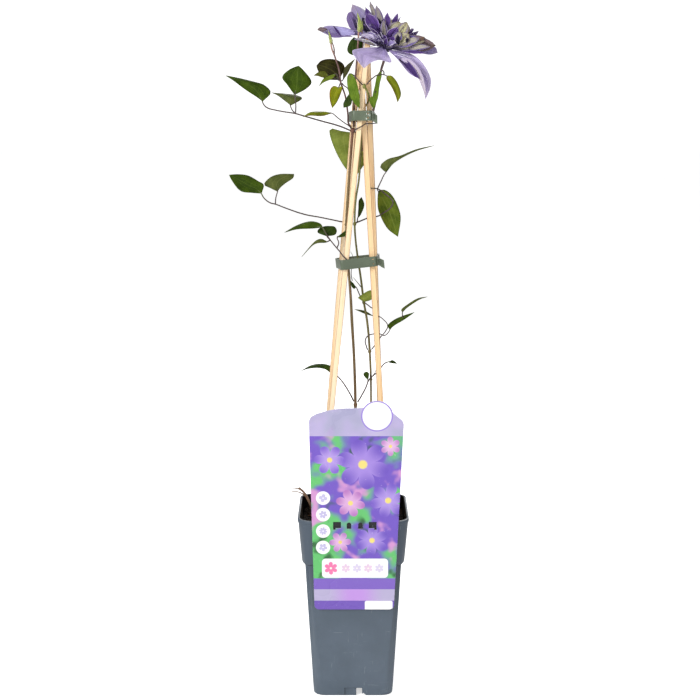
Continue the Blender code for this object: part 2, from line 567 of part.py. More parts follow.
def rounded_square(half, radius, z, corner_steps=4, centre=(0.0, 0.0)):
    """Points of a square with round corners, going round anticlockwise from +X."""
    points = []
    for quarter in range(4):
        middle = math.pi / 4 + quarter * math.pi / 2
        x = centre[0] + math.copysign(half - radius, math.cos(middle))
        y = centre[1] + math.copysign(half - radius, math.sin(middle))
        for step in range(corner_steps + 1):
            turn = quarter * math.pi / 2 + step / corner_steps * math.pi / 2
            points.append(Vector((x + radius * math.cos(turn), y + radius * math.sin(turn), z)))
    return points


def box(size, centre):
    bm = bmesh.new()
    bmesh.ops.create_cube(bm, size=1.0)
    bmesh.ops.scale(bm, vec=Vector(size), verts=bm.verts)
    bmesh.ops.translate(bm, vec=Vector(centre), verts=bm.verts)
    return object_from(bm, "box")


def rod(radius, start, end, sides=20):
    """A round bar between two points."""
    start = Vector(start)
    end = Vector(end)
    along = end - start
    bm = bmesh.new()
    size = {"radius1": radius, "radius2": radius, "depth": along.length}
    bmesh.ops.create_cone(bm, cap_ends=True, segments=sides, **size)
    bmesh.ops.transform(bm, matrix=along.to_track_quat("Z", "Y").to_matrix().to_4x4(), verts=bm.verts)
    bmesh.ops.translate(bm, vec=(start + end) / 2, verts=bm.verts)
    return object_from(bm, "rod")


def body_half(z):
    """Half the pot's outer width at a height below the collar."""
    return POT_BODY_FOOT_HALF + (POT_BODY_TOP_HALF - POT_BODY_FOOT_HALF) * z / POT_COLLAR_FOOT


def corner_radius(half):
    """The corners of the square tighten as the pot narrows."""
    return POT_CORNER_RADIUS - (POT_RIM_HALF - half) * 0.15


def make_pot(surface):
    inner_foot = body_half(POT_FLOOR) - POT_WALL
    inner_body_top = POT_BODY_TOP_HALF - POT_WALL
    inner_collar_foot = POT_COLLAR_FOOT_HALF - POT_WALL
    lip_foot = POT_HEIGHT - 4.0
    outside = (
        (body_half(0) - 3.0, 0.0), (body_half(0) - 0.8, 1.0), (body_half(3.5), 3.5),
        (POT_BODY_TOP_HALF, POT_COLLAR_FOOT), (POT_COLLAR_FOOT_HALF - 0.6, POT_COLLAR_FOOT),
        (POT_COLLAR_FOOT_HALF, POT_COLLAR_FOOT + 0.8), (POT_RIM_HALF - 0.7, lip_foot),
        (POT_RIM_HALF, lip_foot + 0.6), (POT_RIM_HALF, POT_HEIGHT - 0.7), (POT_RIM_HALF - 0.6, POT_HEIGHT),
    )
    inside = (
        (POT_RIM_HALF - POT_WALL - 0.4, POT_HEIGHT), (POT_RIM_HALF - POT_WALL - 1.0, POT_HEIGHT - 0.8),
        (inner_collar_foot, POT_COLLAR_FOOT + 1.8), (inner_body_top, POT_COLLAR_FOOT + 0.2),
        (inner_foot, POT_FLOOR),
    )
    bm = bmesh.new()
    rings = []
    for half, z in (*outside, *inside):
        rings.append([bm.verts.new(point) for point in rounded_square(half, corner_radius(half), z)])
    loft(bm, rings)
    pot = object_from(bm, "pot")
    cutters = []
    for x in (-DRAIN_OFFSET, DRAIN_OFFSET):
        for y in (-DRAIN_OFFSET, DRAIN_OFFSET):
            cutters.append(rod(DRAIN_RADIUS, (x, y, -2.0), (x, y, POT_FLOOR + 2.0)))
    for side in (-1.0, 1.0):
        wall = side * body_half(0)
        cutters.append(box((NOTCH_WIDTH, 10.0, 2 * NOTCH_HEIGHT), (-side * NOTCH_X, wall, 0.0)))
        panel_wall = wall + side * (1.0 - PANEL_DEPTH)
        cutters.append(box((PANEL_WIDTH, 2.0, 2 * NOTCH_HEIGHT), (-side * PANEL_X, panel_wall, 0.0)))
    return finish(combine(pot, cutters, "DIFFERENCE"), "pot", surface)


def soil_height(x, y, share):
    """The top of the soil: rough all over, heaped in the front right corner."""
    rough = SOIL_ROUGHNESS * noise.noise(Vector((x, y, 7.0)) * 0.09)
    distance = (Vector((x, y)) - MOUND_AT).length / MOUND_RADIUS
    return SOIL_TOP + rough + MOUND_HEIGHT * math.exp(-distance * distance) - 1.5 * share ** 6


def make_soil(surface, holes):
    levels = (
        (body_half(POT_FLOOR) - POT_WALL - GAP - 0.3, POT_FLOOR + GAP),
        (POT_BODY_TOP_HALF - POT_WALL - GAP - 0.1, POT_COLLAR_FOOT),
        (POT_COLLAR_FOOT_HALF - POT_WALL - GAP - 0.2, POT_COLLAR_FOOT + 4.0),
        (POT_RIM_HALF - POT_WALL - GAP - 2.4, SOIL_TOP - 3.0),
    )
    bm = bmesh.new()
    rings = []
    for half, z in levels:
        rings.append([bm.verts.new(point) for point in rounded_square(half, corner_radius(half), z, 2)])
    edge_half = levels[-1][0]
    for share in (1.0, 0.92, 0.76, 0.56, 0.34, 0.14):
        ring = []
        for point in rounded_square(edge_half * share, corner_radius(edge_half) * share, 0.0, 2):
            point.z = soil_height(point.x, point.y, share)
            ring.append(bm.verts.new(point))
        rings.append(ring)
    loft(bm, rings)
    bmesh.ops.triangulate(bm, faces=[face for face in bm.faces if len(face.verts) > 4])
    return finish(combine(object_from(bm, "soil"), holes, "DIFFERENCE"), "soil", surface)


def cane_at(cane, z):
    """The middle of a cane at a height."""
    share = (z - CANE_SOIL) / (CANE_TOP - CANE_SOIL)
    x = cane.soil[0] + (cane.top[0] - cane.soil[0]) * share
    y = cane.soil[1] + (cane.top[1] - cane.soil[1]) * share
    return Vector((x, y, z))


def cane_bar(cane, side, length, corner):
    """A square bar from the cane's top downward."""
    top = cane_at(cane, CANE_TOP)
    along = (top - cane_at(cane, CANE_SOIL)).normalized()
    bm = bmesh.new()
    bmesh.ops.create_cube(bm, size=1.0)
    bmesh.ops.scale(bm, vec=(side, side, length), verts=bm.verts)
    if corner:
        uprights = [edge for edge in bm.edges if abs(edge.verts[0].co.z - edge.verts[1].co.z) > 1.0]
        bmesh.ops.bevel(bm, geom=uprights, offset=corner, segments=1, affect="EDGES")
    turn = Vector((0.0, 0.0, 1.0)).rotation_difference(along).to_matrix().to_4x4()
    bmesh.ops.transform(bm, matrix=turn, verts=bm.verts)
    bmesh.ops.translate(bm, vec=top - along * length / 2, verts=bm.verts)
    return object_from(bm, "bar")


def band_outline(corners, radius, inset):
    """A closed band's outline in plan: straight sides, round corners, inset from the outer one."""
    points = []
    count = len(corners)
    for index in range(count):
        corner = Vector(corners[index])
        back = (Vector(corners[index - 1]) - corner).normalized()
        ahead = (Vector(corners[(index + 1) % count]) - corner).normalized()
        half_angle = back.angle(ahead) / 2
        inward = (back + ahead).normalized()
        centre = corner + inward * radius / math.sin(half_angle)
        first = corner + back * radius / math.tan(half_angle) - centre
        last = corner + ahead * radius / math.tan(half_angle) - centre
        for step in range(4):
            spoke = first.lerp(last, step / 3).normalized()
            points.append(centre + spoke * (radius - inset))
    return points


def make_clip(clip, surface):
    """A band round the canes, its end standing out as a tail, with two lock holes beside it."""
    outer = band_outline(clip.corners, CLIP_CORNER, 0.0)
    inner = band_outline(clip.corners, CLIP_CORNER, CLIP_BAND)
    low = -CLIP_HEIGHT / 2
    high = CLIP_HEIGHT / 2
    bm = bmesh.new()
    loops = []
    for outline, z in ((outer, low), (outer, high), (inner, high), (inner, low)):
        loops.append([bm.verts.new((x, y, z)) for x, y in outline])
    for current, following in zip(loops, loops[1:] + loops[:1]):
        for index in range(len(current)):
            beside = (index + 1) % len(current)
            bm.faces.new((current[index], current[beside], following[beside], following[index]))
    band = object_from(bm, "band")

    tail_foot = Vector(clip.corners[1]) + Vector((-1.2, 0.9))  # where the front wall meets the corner
    bm = bmesh.new()
    rings = []
    for reach, sag, height in ((0.0, 0.0, 9.0), (0.45, 0.2, 7.6), (1.0, 1.8, 9.4)):
        x = tail_foot.x + clip.tail * reach
        y = tail_foot.y + 1.2 * reach
        corners = ((0, -height / 2), (CLIP_BAND, -height / 2), (CLIP_BAND, height / 2), (0, height / 2))
        rings.append([bm.verts.new((x, y + across, z - sag)) for across, z in corners])
    loft(bm, rings)
    combine(band, [object_from(bm, "tail")], "UNION")

    x = tail_foot.x - LOCK_HOLE_FROM_CORNER
    near = tail_foot.y - 6
    far = tail_foot.y + 4
    holes = [rod(LOCK_HOLE_RADIUS, (x, near, z), (x, far, z), 8) for z in (-LOCK_HOLE_Z, LOCK_HOLE_Z)]
    combine(band, holes, "DIFFERENCE")
    middle = Vector((sum(x for x, _ in clip.corners) / 4, sum(y for _, y in clip.corners) / 4, 0.0))
    turn = Matrix.Rotation(math.radians(clip.roll), 4, "Y")
    turn = turn @ Matrix.Rotation(math.radians(-clip.pitch), 4, "X")
    lift = Matrix.Translation((0.0, 0.0, clip.height))
    band.data.transform(lift @ Matrix.Translation(middle) @ turn @ Matrix.Translation(-middle))
    return finish(band, clip.name, surface)


def arc(centre, radius, start, end, steps=4):
    """Points of a round stretch, its angles in degrees."""
    points = []
    for step in range(steps + 1):
        turn = math.radians(start + (end - start) * step / steps)
        points.append((centre[0] + radius * math.cos(turn), centre[1] + radius * math.sin(turn)))
    return points


def label_outline():
    """The die-cut label seen from the front, as (x, z): two feet, a shoulder, the disc and the crest."""
    crest = [(0, 328), (-12, 327.6), (-25, 325.8), (-34, 323.6), (-39, 321.6)]
    return [
        *arc((-36.7, 106.6), LABEL_CORNER, 180, 270),
        *arc((38.8, 106.6), LABEL_CORNER, 270, 360),
        *arc((44.6, 309.5), LABEL_SHOULDER, 0, 60),
        *arc(DISC_CENTRE, DISC_RADIUS, 14, 146, 10),
        *crest,
        *arc((-38.3, 312.5), LABEL_SHOULDER, 125, 180, 3),
    ]


def label_windows():
    """Cutters: two L-shaped windows with their legs outward, and two small ones with round tops."""
    windows = []
    for x in LABEL_SLOTS:
        leg_x = x + math.copysign((SLOT_WIDTH - SLOT_LEG) / 2, x)
        windows.append(box((SLOT_WIDTH, 4.0, SLOT_HEIGHT), (x, 0.0, -SLOT_HEIGHT / 2)))
        windows.append(box((SLOT_LEG, 4.0, SLOT_LEG_HEIGHT), (leg_x, 0.0, -SLOT_LEG_HEIGHT / 2)))
    for x in LABEL_ARCHES:
        windows.append(box((2 * ARCH_RADIUS, 4.0, 2 * ARCH_RADIUS), (x, 0.0, ARCH_Z - ARCH_RADIUS)))
        windows.append(rod(ARCH_RADIUS, (x, -2.0, ARCH_Z), (x, 2.0, ARCH_Z), 12))
    return windows


def tongue(x, width):
    """A strip that leaves the label above a window, crosses the rim and hangs inside the pot."""
    front = -LABEL_STAND - LABEL_THICKNESS / 2
    under = POT_HEIGHT + GAP
    top = under + LABEL_THICKNESS
    inner = POT_RIM_HALF - POT_WALL - 1.4
    foot = under - TONGUE_DROP
    profile = (
        (front, under), (-inner, under), (0.7 - inner, foot), (0.7 - inner + LABEL_THICKNESS, foot),
        (LABEL_THICKNESS - inner, top), (front, top),
    )
    bm = bmesh.new()
    loft(bm, [[bm.verts.new((x + half, y, z)) for y, z in profile] for half in (-width / 2, width / 2)])
    return object_from(bm, "tongue")


def make_label(surface):
    """A thin sheet, cut to shape, with tongues that hook over the rim through its windows."""
    bm = bmesh.new()
    front = bm.faces.new([bm.verts.new((x, -LABEL_THICKNESS, z - POT_HEIGHT)) for x, z in label_outline()])
    sides = bmesh.ops.extrude_face_region(bm, geom=[front])
    back = [item for item in sides["geom"] if isinstance(item, bmesh.types.BMVert)]
    bmesh.ops.translate(bm, vec=(0.0, LABEL_THICKNESS, 0.0), verts=back)
    bmesh.ops.triangulate(bm, faces=[face for face in bm.faces if len(face.verts) > 4])
    label = object_from(bm, "label")
    combine(label, label_windows(), "DIFFERENCE")
    lean = Matrix.Rotation(LABEL_LEAN, 4, "X")
    label.data.transform(Matrix.Translation((0.0, -LABEL_STAND, POT_HEIGHT)) @ lean)
    tongues = [tongue(x, SLOT_WIDTH - 1.1) for x in LABEL_SLOTS]
    tongues += [tongue(x, 2 * ARCH_RADIUS - 0.8) for x in LABEL_ARCHES]
    return finish(combine(label, tongues, "UNION"), "label", surface)


def make_stem(name, route, radius, end_radius, swellings, surface):
    knobs = [knob((x, y, z), size) for x, y, z, size in swellings]
    return finish(combine(stalk(route, radius, end_radius), knobs, "UNION", PLANT_SOLVER), name, surface)


def petal_point(foot, direction, face, length, width, curl, t, across):
    """A point of a plain pointed petal that curls toward its face."""
    side = direction.cross(face).normalized()
    half = width / 2 * math.sin(math.pi * t ** 0.8) ** 0.8 if 0.0 < t < 1.0 else 0.0
    offset = 2 * across - 1
    cup = 0.25 * half * offset * offset
    return foot + direction * length * t + face * (curl * length * t * t + cup) + side * half * offset


def petal(foot, azimuth, rise, length, width, curl, rows=4, columns=2):
    """A petal that leaves the heart of the bloom at an angle round it and an angle above level."""
    round_angle = math.radians(azimuth)
    up = math.radians(rise)
    level = Vector((math.cos(round_angle), math.sin(round_angle), 0.0))
    direction = level * math.cos(up) + Vector((0.0, 0.0, math.sin(up)))
    face = Vector((0.0, 0.0, math.cos(up))) - level * math.sin(up)
    return sheet(
        lambda t, across: petal_point(foot, direction, face, length, width, curl, t, across), rows, columns)


def make_bloom(surface):
    heart = knob(BLOOM_HEART, BLOOM_CORE, 0.95)
    draw = random.Random(BLOOM_SEED)
    pieces = [blade(leaf, 7) for leaf in SEPALS]
    pieces += [blade(leaf, 4) for leaf in INNER_PETALS]
    foot = Vector(BLOOM_HEART)
    for azimuth, rise in ((42, 4), (88, 8)):
        pieces.append(petal(foot, azimuth, rise, BACK_SEPAL_LENGTH, BACK_SEPAL_WIDTH, -0.1))
    for count, rise, length in ((6, 28, 33.0), (4, 58, 36.0)):
        for index in range(count):
            azimuth = 15 + 150 * index / (count - 1) + draw.uniform(-5, 5)
            tilt = rise + draw.uniform(-5, 5)
            size = length * draw.uniform(0.9, 1.1)
            pieces.append(petal(foot, azimuth, tilt, size, BACK_PETAL_WIDTH, 0.1))
    return finish(combine(heart, pieces, "UNION", PLANT_SOLVER), "bloom", surface)


def make_bud(name, surface, route, radius, bud, bud_radius, extras=()):
    """A bud on its stalk: the bud swells from the stalk and ends in a point."""
    line = through(bud, 3)
    bm = bmesh.new()
    rings = []
    for index, place in enumerate(line):
        swell = math.sin(math.pi * (0.16 + 0.8 * index / (len(line) - 1)) ** 0.8)
        circle = [math.tau * side / 8 for side in range(8)]
        rings.append([
            bm.verts.new(place + bud_radius * swell * Vector((math.cos(turn), math.sin(turn), 0.0)))
            for turn in circle
        ])
    loft(bm, rings)
    pieces = [stalk(route, radius, radius * 0.9), *extras]
    return finish(combine(object_from(bm, "bud"), pieces, "UNION", PLANT_SOLVER), name, surface)


def build():
    clear_scene()
    plastic = material("pot_plastic", (93, 105, 115), 0.45)
    earth = material("soil", (26, 18, 14), 0.95)
    wood = material("cane_wood", (248, 222, 185), 0.6)
    clip_plastic = material("clip_plastic", (105, 128, 105), 0.45)
    print_film = material("label_film", (140, 110, 205), 0.3)
    bark = material("stem_bark", (120, 84, 62), 0.7)
    green = material("leaf_green", (70, 112, 36), 0.5)
    pale_green = material("bud_green", (150, 160, 70), 0.6)
    violet = material("petal_violet", (150, 130, 205), 0.5)

    make_pot(plastic)
    make_label(print_film)
    holes = []
    for cane in CANES:
        finish(cane_bar(cane, CANE_SIDE, CANE_LENGTH, 0.5), cane.name, wood, 30.0)
        holes.append(cane_bar(cane, CANE_SIDE + 2 * GAP, CANE_LENGTH + GAP, 0.0))
    for route, radius in ((STEM_A, STEM_A_RADIUS), (STEM_B, STEM_B_RADIUS), (TWIG, TWIG_RADIUS)):
        near = [Vector(point) for point in route if point[2] < SOIL_TOP + 20.0]
        foot = near[0] + (near[0] - near[1]).normalized() * 2 * GAP
        holes.append(stalk([foot, *near], radius + 2 * GAP, sides=8))
    make_soil(earth, holes)
    for clip in CLIPS:
        make_clip(clip, clip_plastic)
    make_stem("stem_a", STEM_A, STEM_A_RADIUS, 1.4, STEM_A_NODES, bark)
    make_stem("stem_b", STEM_B, STEM_B_RADIUS, 1.0, STEM_B_NODES, bark)
    spray("dry_root_twig", bark, TWIG_BRANCHES)
    finish(stalk(BLOOM_STALK, 1.15, 1.4), "bloom_stalk", bark)
    for name, branches in SPRAYS.items():
        spray(name, green, branches)
    strand = stalk(BUD_LEFT_STRAND, 0.8, 0.7)
    make_bud("bud_left", pale_green, BUD_LEFT_STALK, 1.0, BUD_LEFT, 2.2, [strand])
    make_bud("bud_centre", pale_green, BUD_CENTRE_STALK, 1.1, BUD_CENTRE, 3.2)
    make_bloom(violet)


build()
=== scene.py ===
"""A potted clematis on a trellis of four canes, dressed for its picture.

Sizes and places are in millimetres, as they are read off the plant, and MM turns them into metres.
-Y is towards the viewer and the origin is under the middle of the pot.
"""
import math
import random
from collections import namedtuple
from contextlib import contextmanager

import bpy
from mathutils import Matrix, Vector, noise


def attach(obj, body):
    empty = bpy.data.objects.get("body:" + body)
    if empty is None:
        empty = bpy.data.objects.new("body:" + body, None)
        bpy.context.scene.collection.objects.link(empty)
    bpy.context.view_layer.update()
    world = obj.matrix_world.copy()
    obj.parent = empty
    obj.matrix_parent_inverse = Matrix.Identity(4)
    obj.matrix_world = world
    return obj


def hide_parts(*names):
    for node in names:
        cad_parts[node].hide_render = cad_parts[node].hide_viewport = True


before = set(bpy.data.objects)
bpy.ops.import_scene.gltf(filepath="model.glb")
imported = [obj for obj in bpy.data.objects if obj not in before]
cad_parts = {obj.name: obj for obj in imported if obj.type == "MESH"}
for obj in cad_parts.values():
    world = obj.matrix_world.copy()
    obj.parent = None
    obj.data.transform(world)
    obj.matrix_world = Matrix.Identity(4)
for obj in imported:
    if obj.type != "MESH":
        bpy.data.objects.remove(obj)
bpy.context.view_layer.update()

MM = 0.001

# Pot
POT_HEIGHT = 202.0
RIM_HALF = 60.0
COLLAR_FOOT = 151.0
COLLAR_FOOT_HALF = 55.4
BODY_TOP_HALF = 52.0
BODY_FOOT_HALF = 43.5
WALL = 1.7
POT_CORNER = 13.0
BODY_CORNER_TOP = 5.0
BODY_CORNER_FOOT = 11.5
BODY_CORNER_HEIGHT = 110.0
FLOOR_CORNER = 9.0
FLOOR_INSET = 9.5
FLOOR_UNDERSIDE = 9.4
FLOOR_TOP = 11.0
DRAIN_OFFSET = 24.0
DRAIN_RADIUS = 5.0
SOIL_TOP = 189.0
SOIL_HALF = 55.6
HEAP = (47.0, -44.0)
HEAP_SIZE = 9.0
CRUMBS = 420
FIBRES = 26

# Trellis
CANE_SIDE = 6.0
CANE_LENGTH = 600.0
CANE_TOP = 710.0
CANE_SOIL = 190.0
BAND = 1.3
BAND_HEIGHT = 10.6
LOCK_HOLE = 0.8
LOCK_HOLE_HEIGHTS = (-2.3, 2.3)

# Label
LABEL_THICKNESS = 0.8
LABEL_STAND = 60.7
LABEL_LEAN = math.atan((RIM_HALF - COLLAR_FOOT_HALF) / (POT_HEIGHT - COLLAR_FOOT))
DISC = (24.8, 319.0)
DISC_RADIUS = 17.0
LABEL_SLOTS = (-17.3, 20.7)
LABEL_ARCHES = (-4.6, 7.7)

# Plant
LEAF_THICKNESS = 0.45
EDGE_STEPS = 48
BUD_STEPS = 24

Leaf = namedtuple("Leaf", "base tip left right depth lift")
Cane = namedtuple("Cane", "name soil top")
Clip = namedtuple("Clip", "name corners height pitch roll tail")

CANES = (
    Cane("cane_front_left", (-36.0, -33.0), (15.4, -7.5)),
    Cane("cane_front_right", (37.7, -33.0), (6.0, 1.5)),
    Cane("cane_back_left", (-36.5, 33.0), (7.7, 8.4)),
    Cane("cane_back_right", (34.4, 33.0), (14.5, 5.5)),
)
CLIPS = (
    Clip("clip_lower", ((-13.5, -27.0), (25.5, -23.0), (29.4, 23.8), (-19.8, 26.2)), 474.0, 2.0, -6.2, 8.5),
    Clip("clip_upper", ((-1.2, -19.4), (19.5, -19.0), (23.6, 16.8), (-5.2, 18.0)), 629.0, 2.0, -0.5, 7.0),
)

STEM_A = (
    (5, 4, 160), (4, 3, 200), (3, 2, 243), (3, 1, 288), (2.5, 0, 315), (2, 0, 339), (0.5, -1, 378),
    (-1.5, -2, 411), (-3, -3, 440), (-5, -3, 465), (-6.5, -2, 485), (-7.5, 0, 508), (-6, 2, 540),
    (-3, 3, 583), (-1.5, 2.5, 604), (-0.5, 2, 614),
)
STEM_A_KNOBS = ((2.5, 0, 317, 2.3), (-7.3, 0, 514, 2.1), (-0.5, 2, 614, 2.5))
STEM_B = (
    (9, 6, 160), (11, 5, 200), (14, 4, 243), (18.5, 3, 288), (19.5, 2, 330), (18, 2, 376), (15, 2, 410),
    (11.5, 2, 430), (8.5, 2, 454), (4.5, 1, 481), (2.5, 0, 498), (1.5, -1, 515), (2.5, 0, 540),
    (6, 1.5, 562), (8, 2.5, 594), (10, 3, 630), (12, 3, 638), (15.6, 0, 644), (16.6, -7, 649),
    (14.6, -13.5, 655), (11.5, -17, 660),
)
STEM_B_KNOBS = (
    (19.5, 2, 345, 1.7), (18, 2, 376, 2.0), (11.5, 2, 430, 1.9), (1.5, -1, 515, 1.9), (7.4, 2, 588, 1.7),
    (11.5, -17, 660, 2.0),
)
TWIG = ((-45, 36, 172), (-46, 37, 181), (-48, 39.5, 191), (-52, 45, 200), (-56.5, 52, 205.5),
        (-62, 58, 208.5))
TWIG_FORKS = (
    ((-52, 45, 200), (-58, 50, 204), (-65, 56, 205), (-70, 60, 204)),
    ((-56.5, 52, 205.5), (-61, 54, 208), (-67, 56, 209), (-71, 58, 208.5)),
)

# The bloom and its stalk. A petal is: look | base, tip | left edge | right edge | depths, lifts
BLOOM_HEART = (35.0, 0.0, 703.5)
FILAMENTS = 90
BLOOM_STALK = (
    (9.9, 4, 593), (9, 10, 601), (10, 16.4, 608.5), (14, 18, 614.5), (18, 21, 622), (20.5, 21.5, 631),
    (23, 20, 641), (25.5, 14, 653.5), (27.5, 8, 666), (29.5, 4, 677.5), (32.5, 1, 687.5),
    (34.4, 0, 695.1),
)
SEPALS = """
lilac | 32.5 703.5, -37.5 718.5 | 17.5 715.5, -1.5 719, -13 722, -27.5 723 | 20.8 712.4, 3 712.8, -8.5 712.8, -17 711,
 -28.5 714 | 2 -4, 2 -2
pale | 32.5 705.5, -1 747 | 15.5 711, 0.5 723.5, -3 737 | 30.5 720, 22 732.5, 9.5 743 | 7.5 24, 0 8
dusk | 31.5 703, -5.5 737 | 19.5 710.5, 9 713.5, -0.5 717.5, -7 729 | 20 717, 6 729.5, -1 738 | 4.5 10, -2 4
blue | 33 700, 11 678 | 19.5 700, 4 697.5, -1 695, 4 686.5 | 36.5 693.5, 39.5 684.5, 27.5 687, 18 684 | -4 -34, -6 -3
blue_dark | 36.5 698.5, 75.5 646.5 | 58.5 694.5, 71 686, 80.5 670.5, 80.5 658.5 | 46.5 688, 58 673.5, 69.5 666.5,
 73.5 655 | -4 -24, 4 -8
lilac_dark | 36.5 700, 89.5 695.5 | 55 706, 74 703.5, 86.5 702 | 54.5 696, 70.5 694.5, 82 693.5 | 3 8, 5 -3
"""
INNER_PETALS = """
violet | 32.5 705, 12.5 742.5 | 19.5 722, 13.5 734 | 26 723, 18 737.5 | 0 4, 0 2
grey | 33.5 706.5, 17.5 749.5 | 23 727.5, 17.5 741 | 28.5 728.5, 22.5 741 | 3 10, 2 0
grey | 34.5 706.5, 24.5 744.5 | 25 727, 23 738.5 | 32.5 727, 29.5 737.5 | 2 5, 1 -1
violet | 35.5 705.5, 36 737 | 29.5 720, 32 729 | 39.5 721, 38.5 730 | 1 2, 2 0
violet | 36.5 705.5, 47 736.5 | 36.5 720, 41.5 729.5 | 43 719, 47 730 | 2 8, 2 0
violet | 32 705, 13 734.5 | 21.5 714, 12.5 726 | 30 718, 23 731.5 | -4 -14, -3 1
violet | 31.5 703, 6.5 712 | 18.5 713, 11 714.5 | 21.5 704.5, 13 709.5 | -5 -20, 2 -2
grey | 31 701, -0.5 708 | 17.5 706.5, 7 709.5 | 17.5 702.5, 7 706.5 | -9 -20, 0 -1
cream | 35.5 706, 49 726.5 | 35 718.5, 39.5 725.5 | 43.5 715, 50 721.5 | -2 -6, 2 -2
cream | 37.5 704, 56 726 | 39.5 716.5, 44.5 725 | 51 710, 59 718 | -3 -8, 4 -2
cream | 38.5 702, 58 713.5 | 44.5 712, 52 716 | 51 701, 58 706.5 | -6 -16, 3 -2
violet | 39 704.5, 64 720.5 | 50.5 716 | 57.5 712 | 4 6, 1 -1
violet | 40 703.5, 69.5 718.5 | 55 714 | 62 710 | 5 12, 1 -1
brown | 39.5 701, 75 711 | 55.5 710, 66 713 | 57.5 700.5, 69 703 | -2 -10, 3 -2
brown | 38.5 700, 87 703 | 57.5 706.5, 74.5 709.5 | 59.5 697, 77.5 697.5 | 0 -2, 4 -3
grey | 36 699, 34 710 | 32 702.5, 31.5 707 | 43.5 701.5, 41.5 708 | -6.5 -17, 2 3
grey | 33.5 705, 31.5 728.5 | 29 715, 29 723.5 | 35.5 715, 34 723.5 | -5 -11, 0 0
violet | 36 702, 46 721 | 34 711, 37.5 718 | 45.5 708, 47.5 716 | -5 -12, 0 1
"""

# Buds: the one that stands at the left has a stalk that forks
BUD_LEFT_STALK = (
    (-2.3, 1.5, 617.2), (-5.2, 0, 622), (-5.6, -1, 629), (-6.4, -2.5, 637), (-8.5, -4, 650),
    (-11.5, -5, 659), (-13.5, -6, 665), (-14.2, -6.5, 672), (-15.5, -7.5, 679), (-17.8, -8.5, 686),
    (-20, -9, 692.5), (-22.6, -10, 699), (-23.6, -10, 706),
)
BUD_LEFT_STRAND = ((-20, -9, 692.5), (-20.2, -8.6, 699), (-22.6, -9.6, 706.5))
BUD_LEFT = ((-23.2, -10, 703.5), (-23.8, -10, 708.3), (-26.1, -10, 717.5))
BUD_CENTRE_STALK = (
    (0.5, 3.2, 617.4), (0.6, 4, 627), (0.6, 4, 636), (1.3, 1.5, 652), (2, -3, 667), (3, -7, 679),
    (4, -9, 692), (5, -10, 705), (5.6, -11, 716),
)
BUD_CENTRE = ((6.6, -11, 715.5), (7.2, -12, 722.5), (4.2, -13, 735.5))
BUD_CENTRE_STRAND = (
    (3.6, -8.4, 687), (7.4, -9.6, 692), (10, -11, 699.5), (10.2, -11.5, 708), (9.2, -12, 716), (8.2, -12.3, 722),
)
# A bud's width along its length
SLIM_BUD = ((0, 0.5), (0.14, 0.95), (0.3, 1.0), (0.5, 0.72), (0.75, 0.45), (1, 0.14))
FULL_BUD = ((0, 0.6), (0.12, 1.0), (0.32, 0.98), (0.5, 0.66), (0.75, 0.45), (1, 0.16))

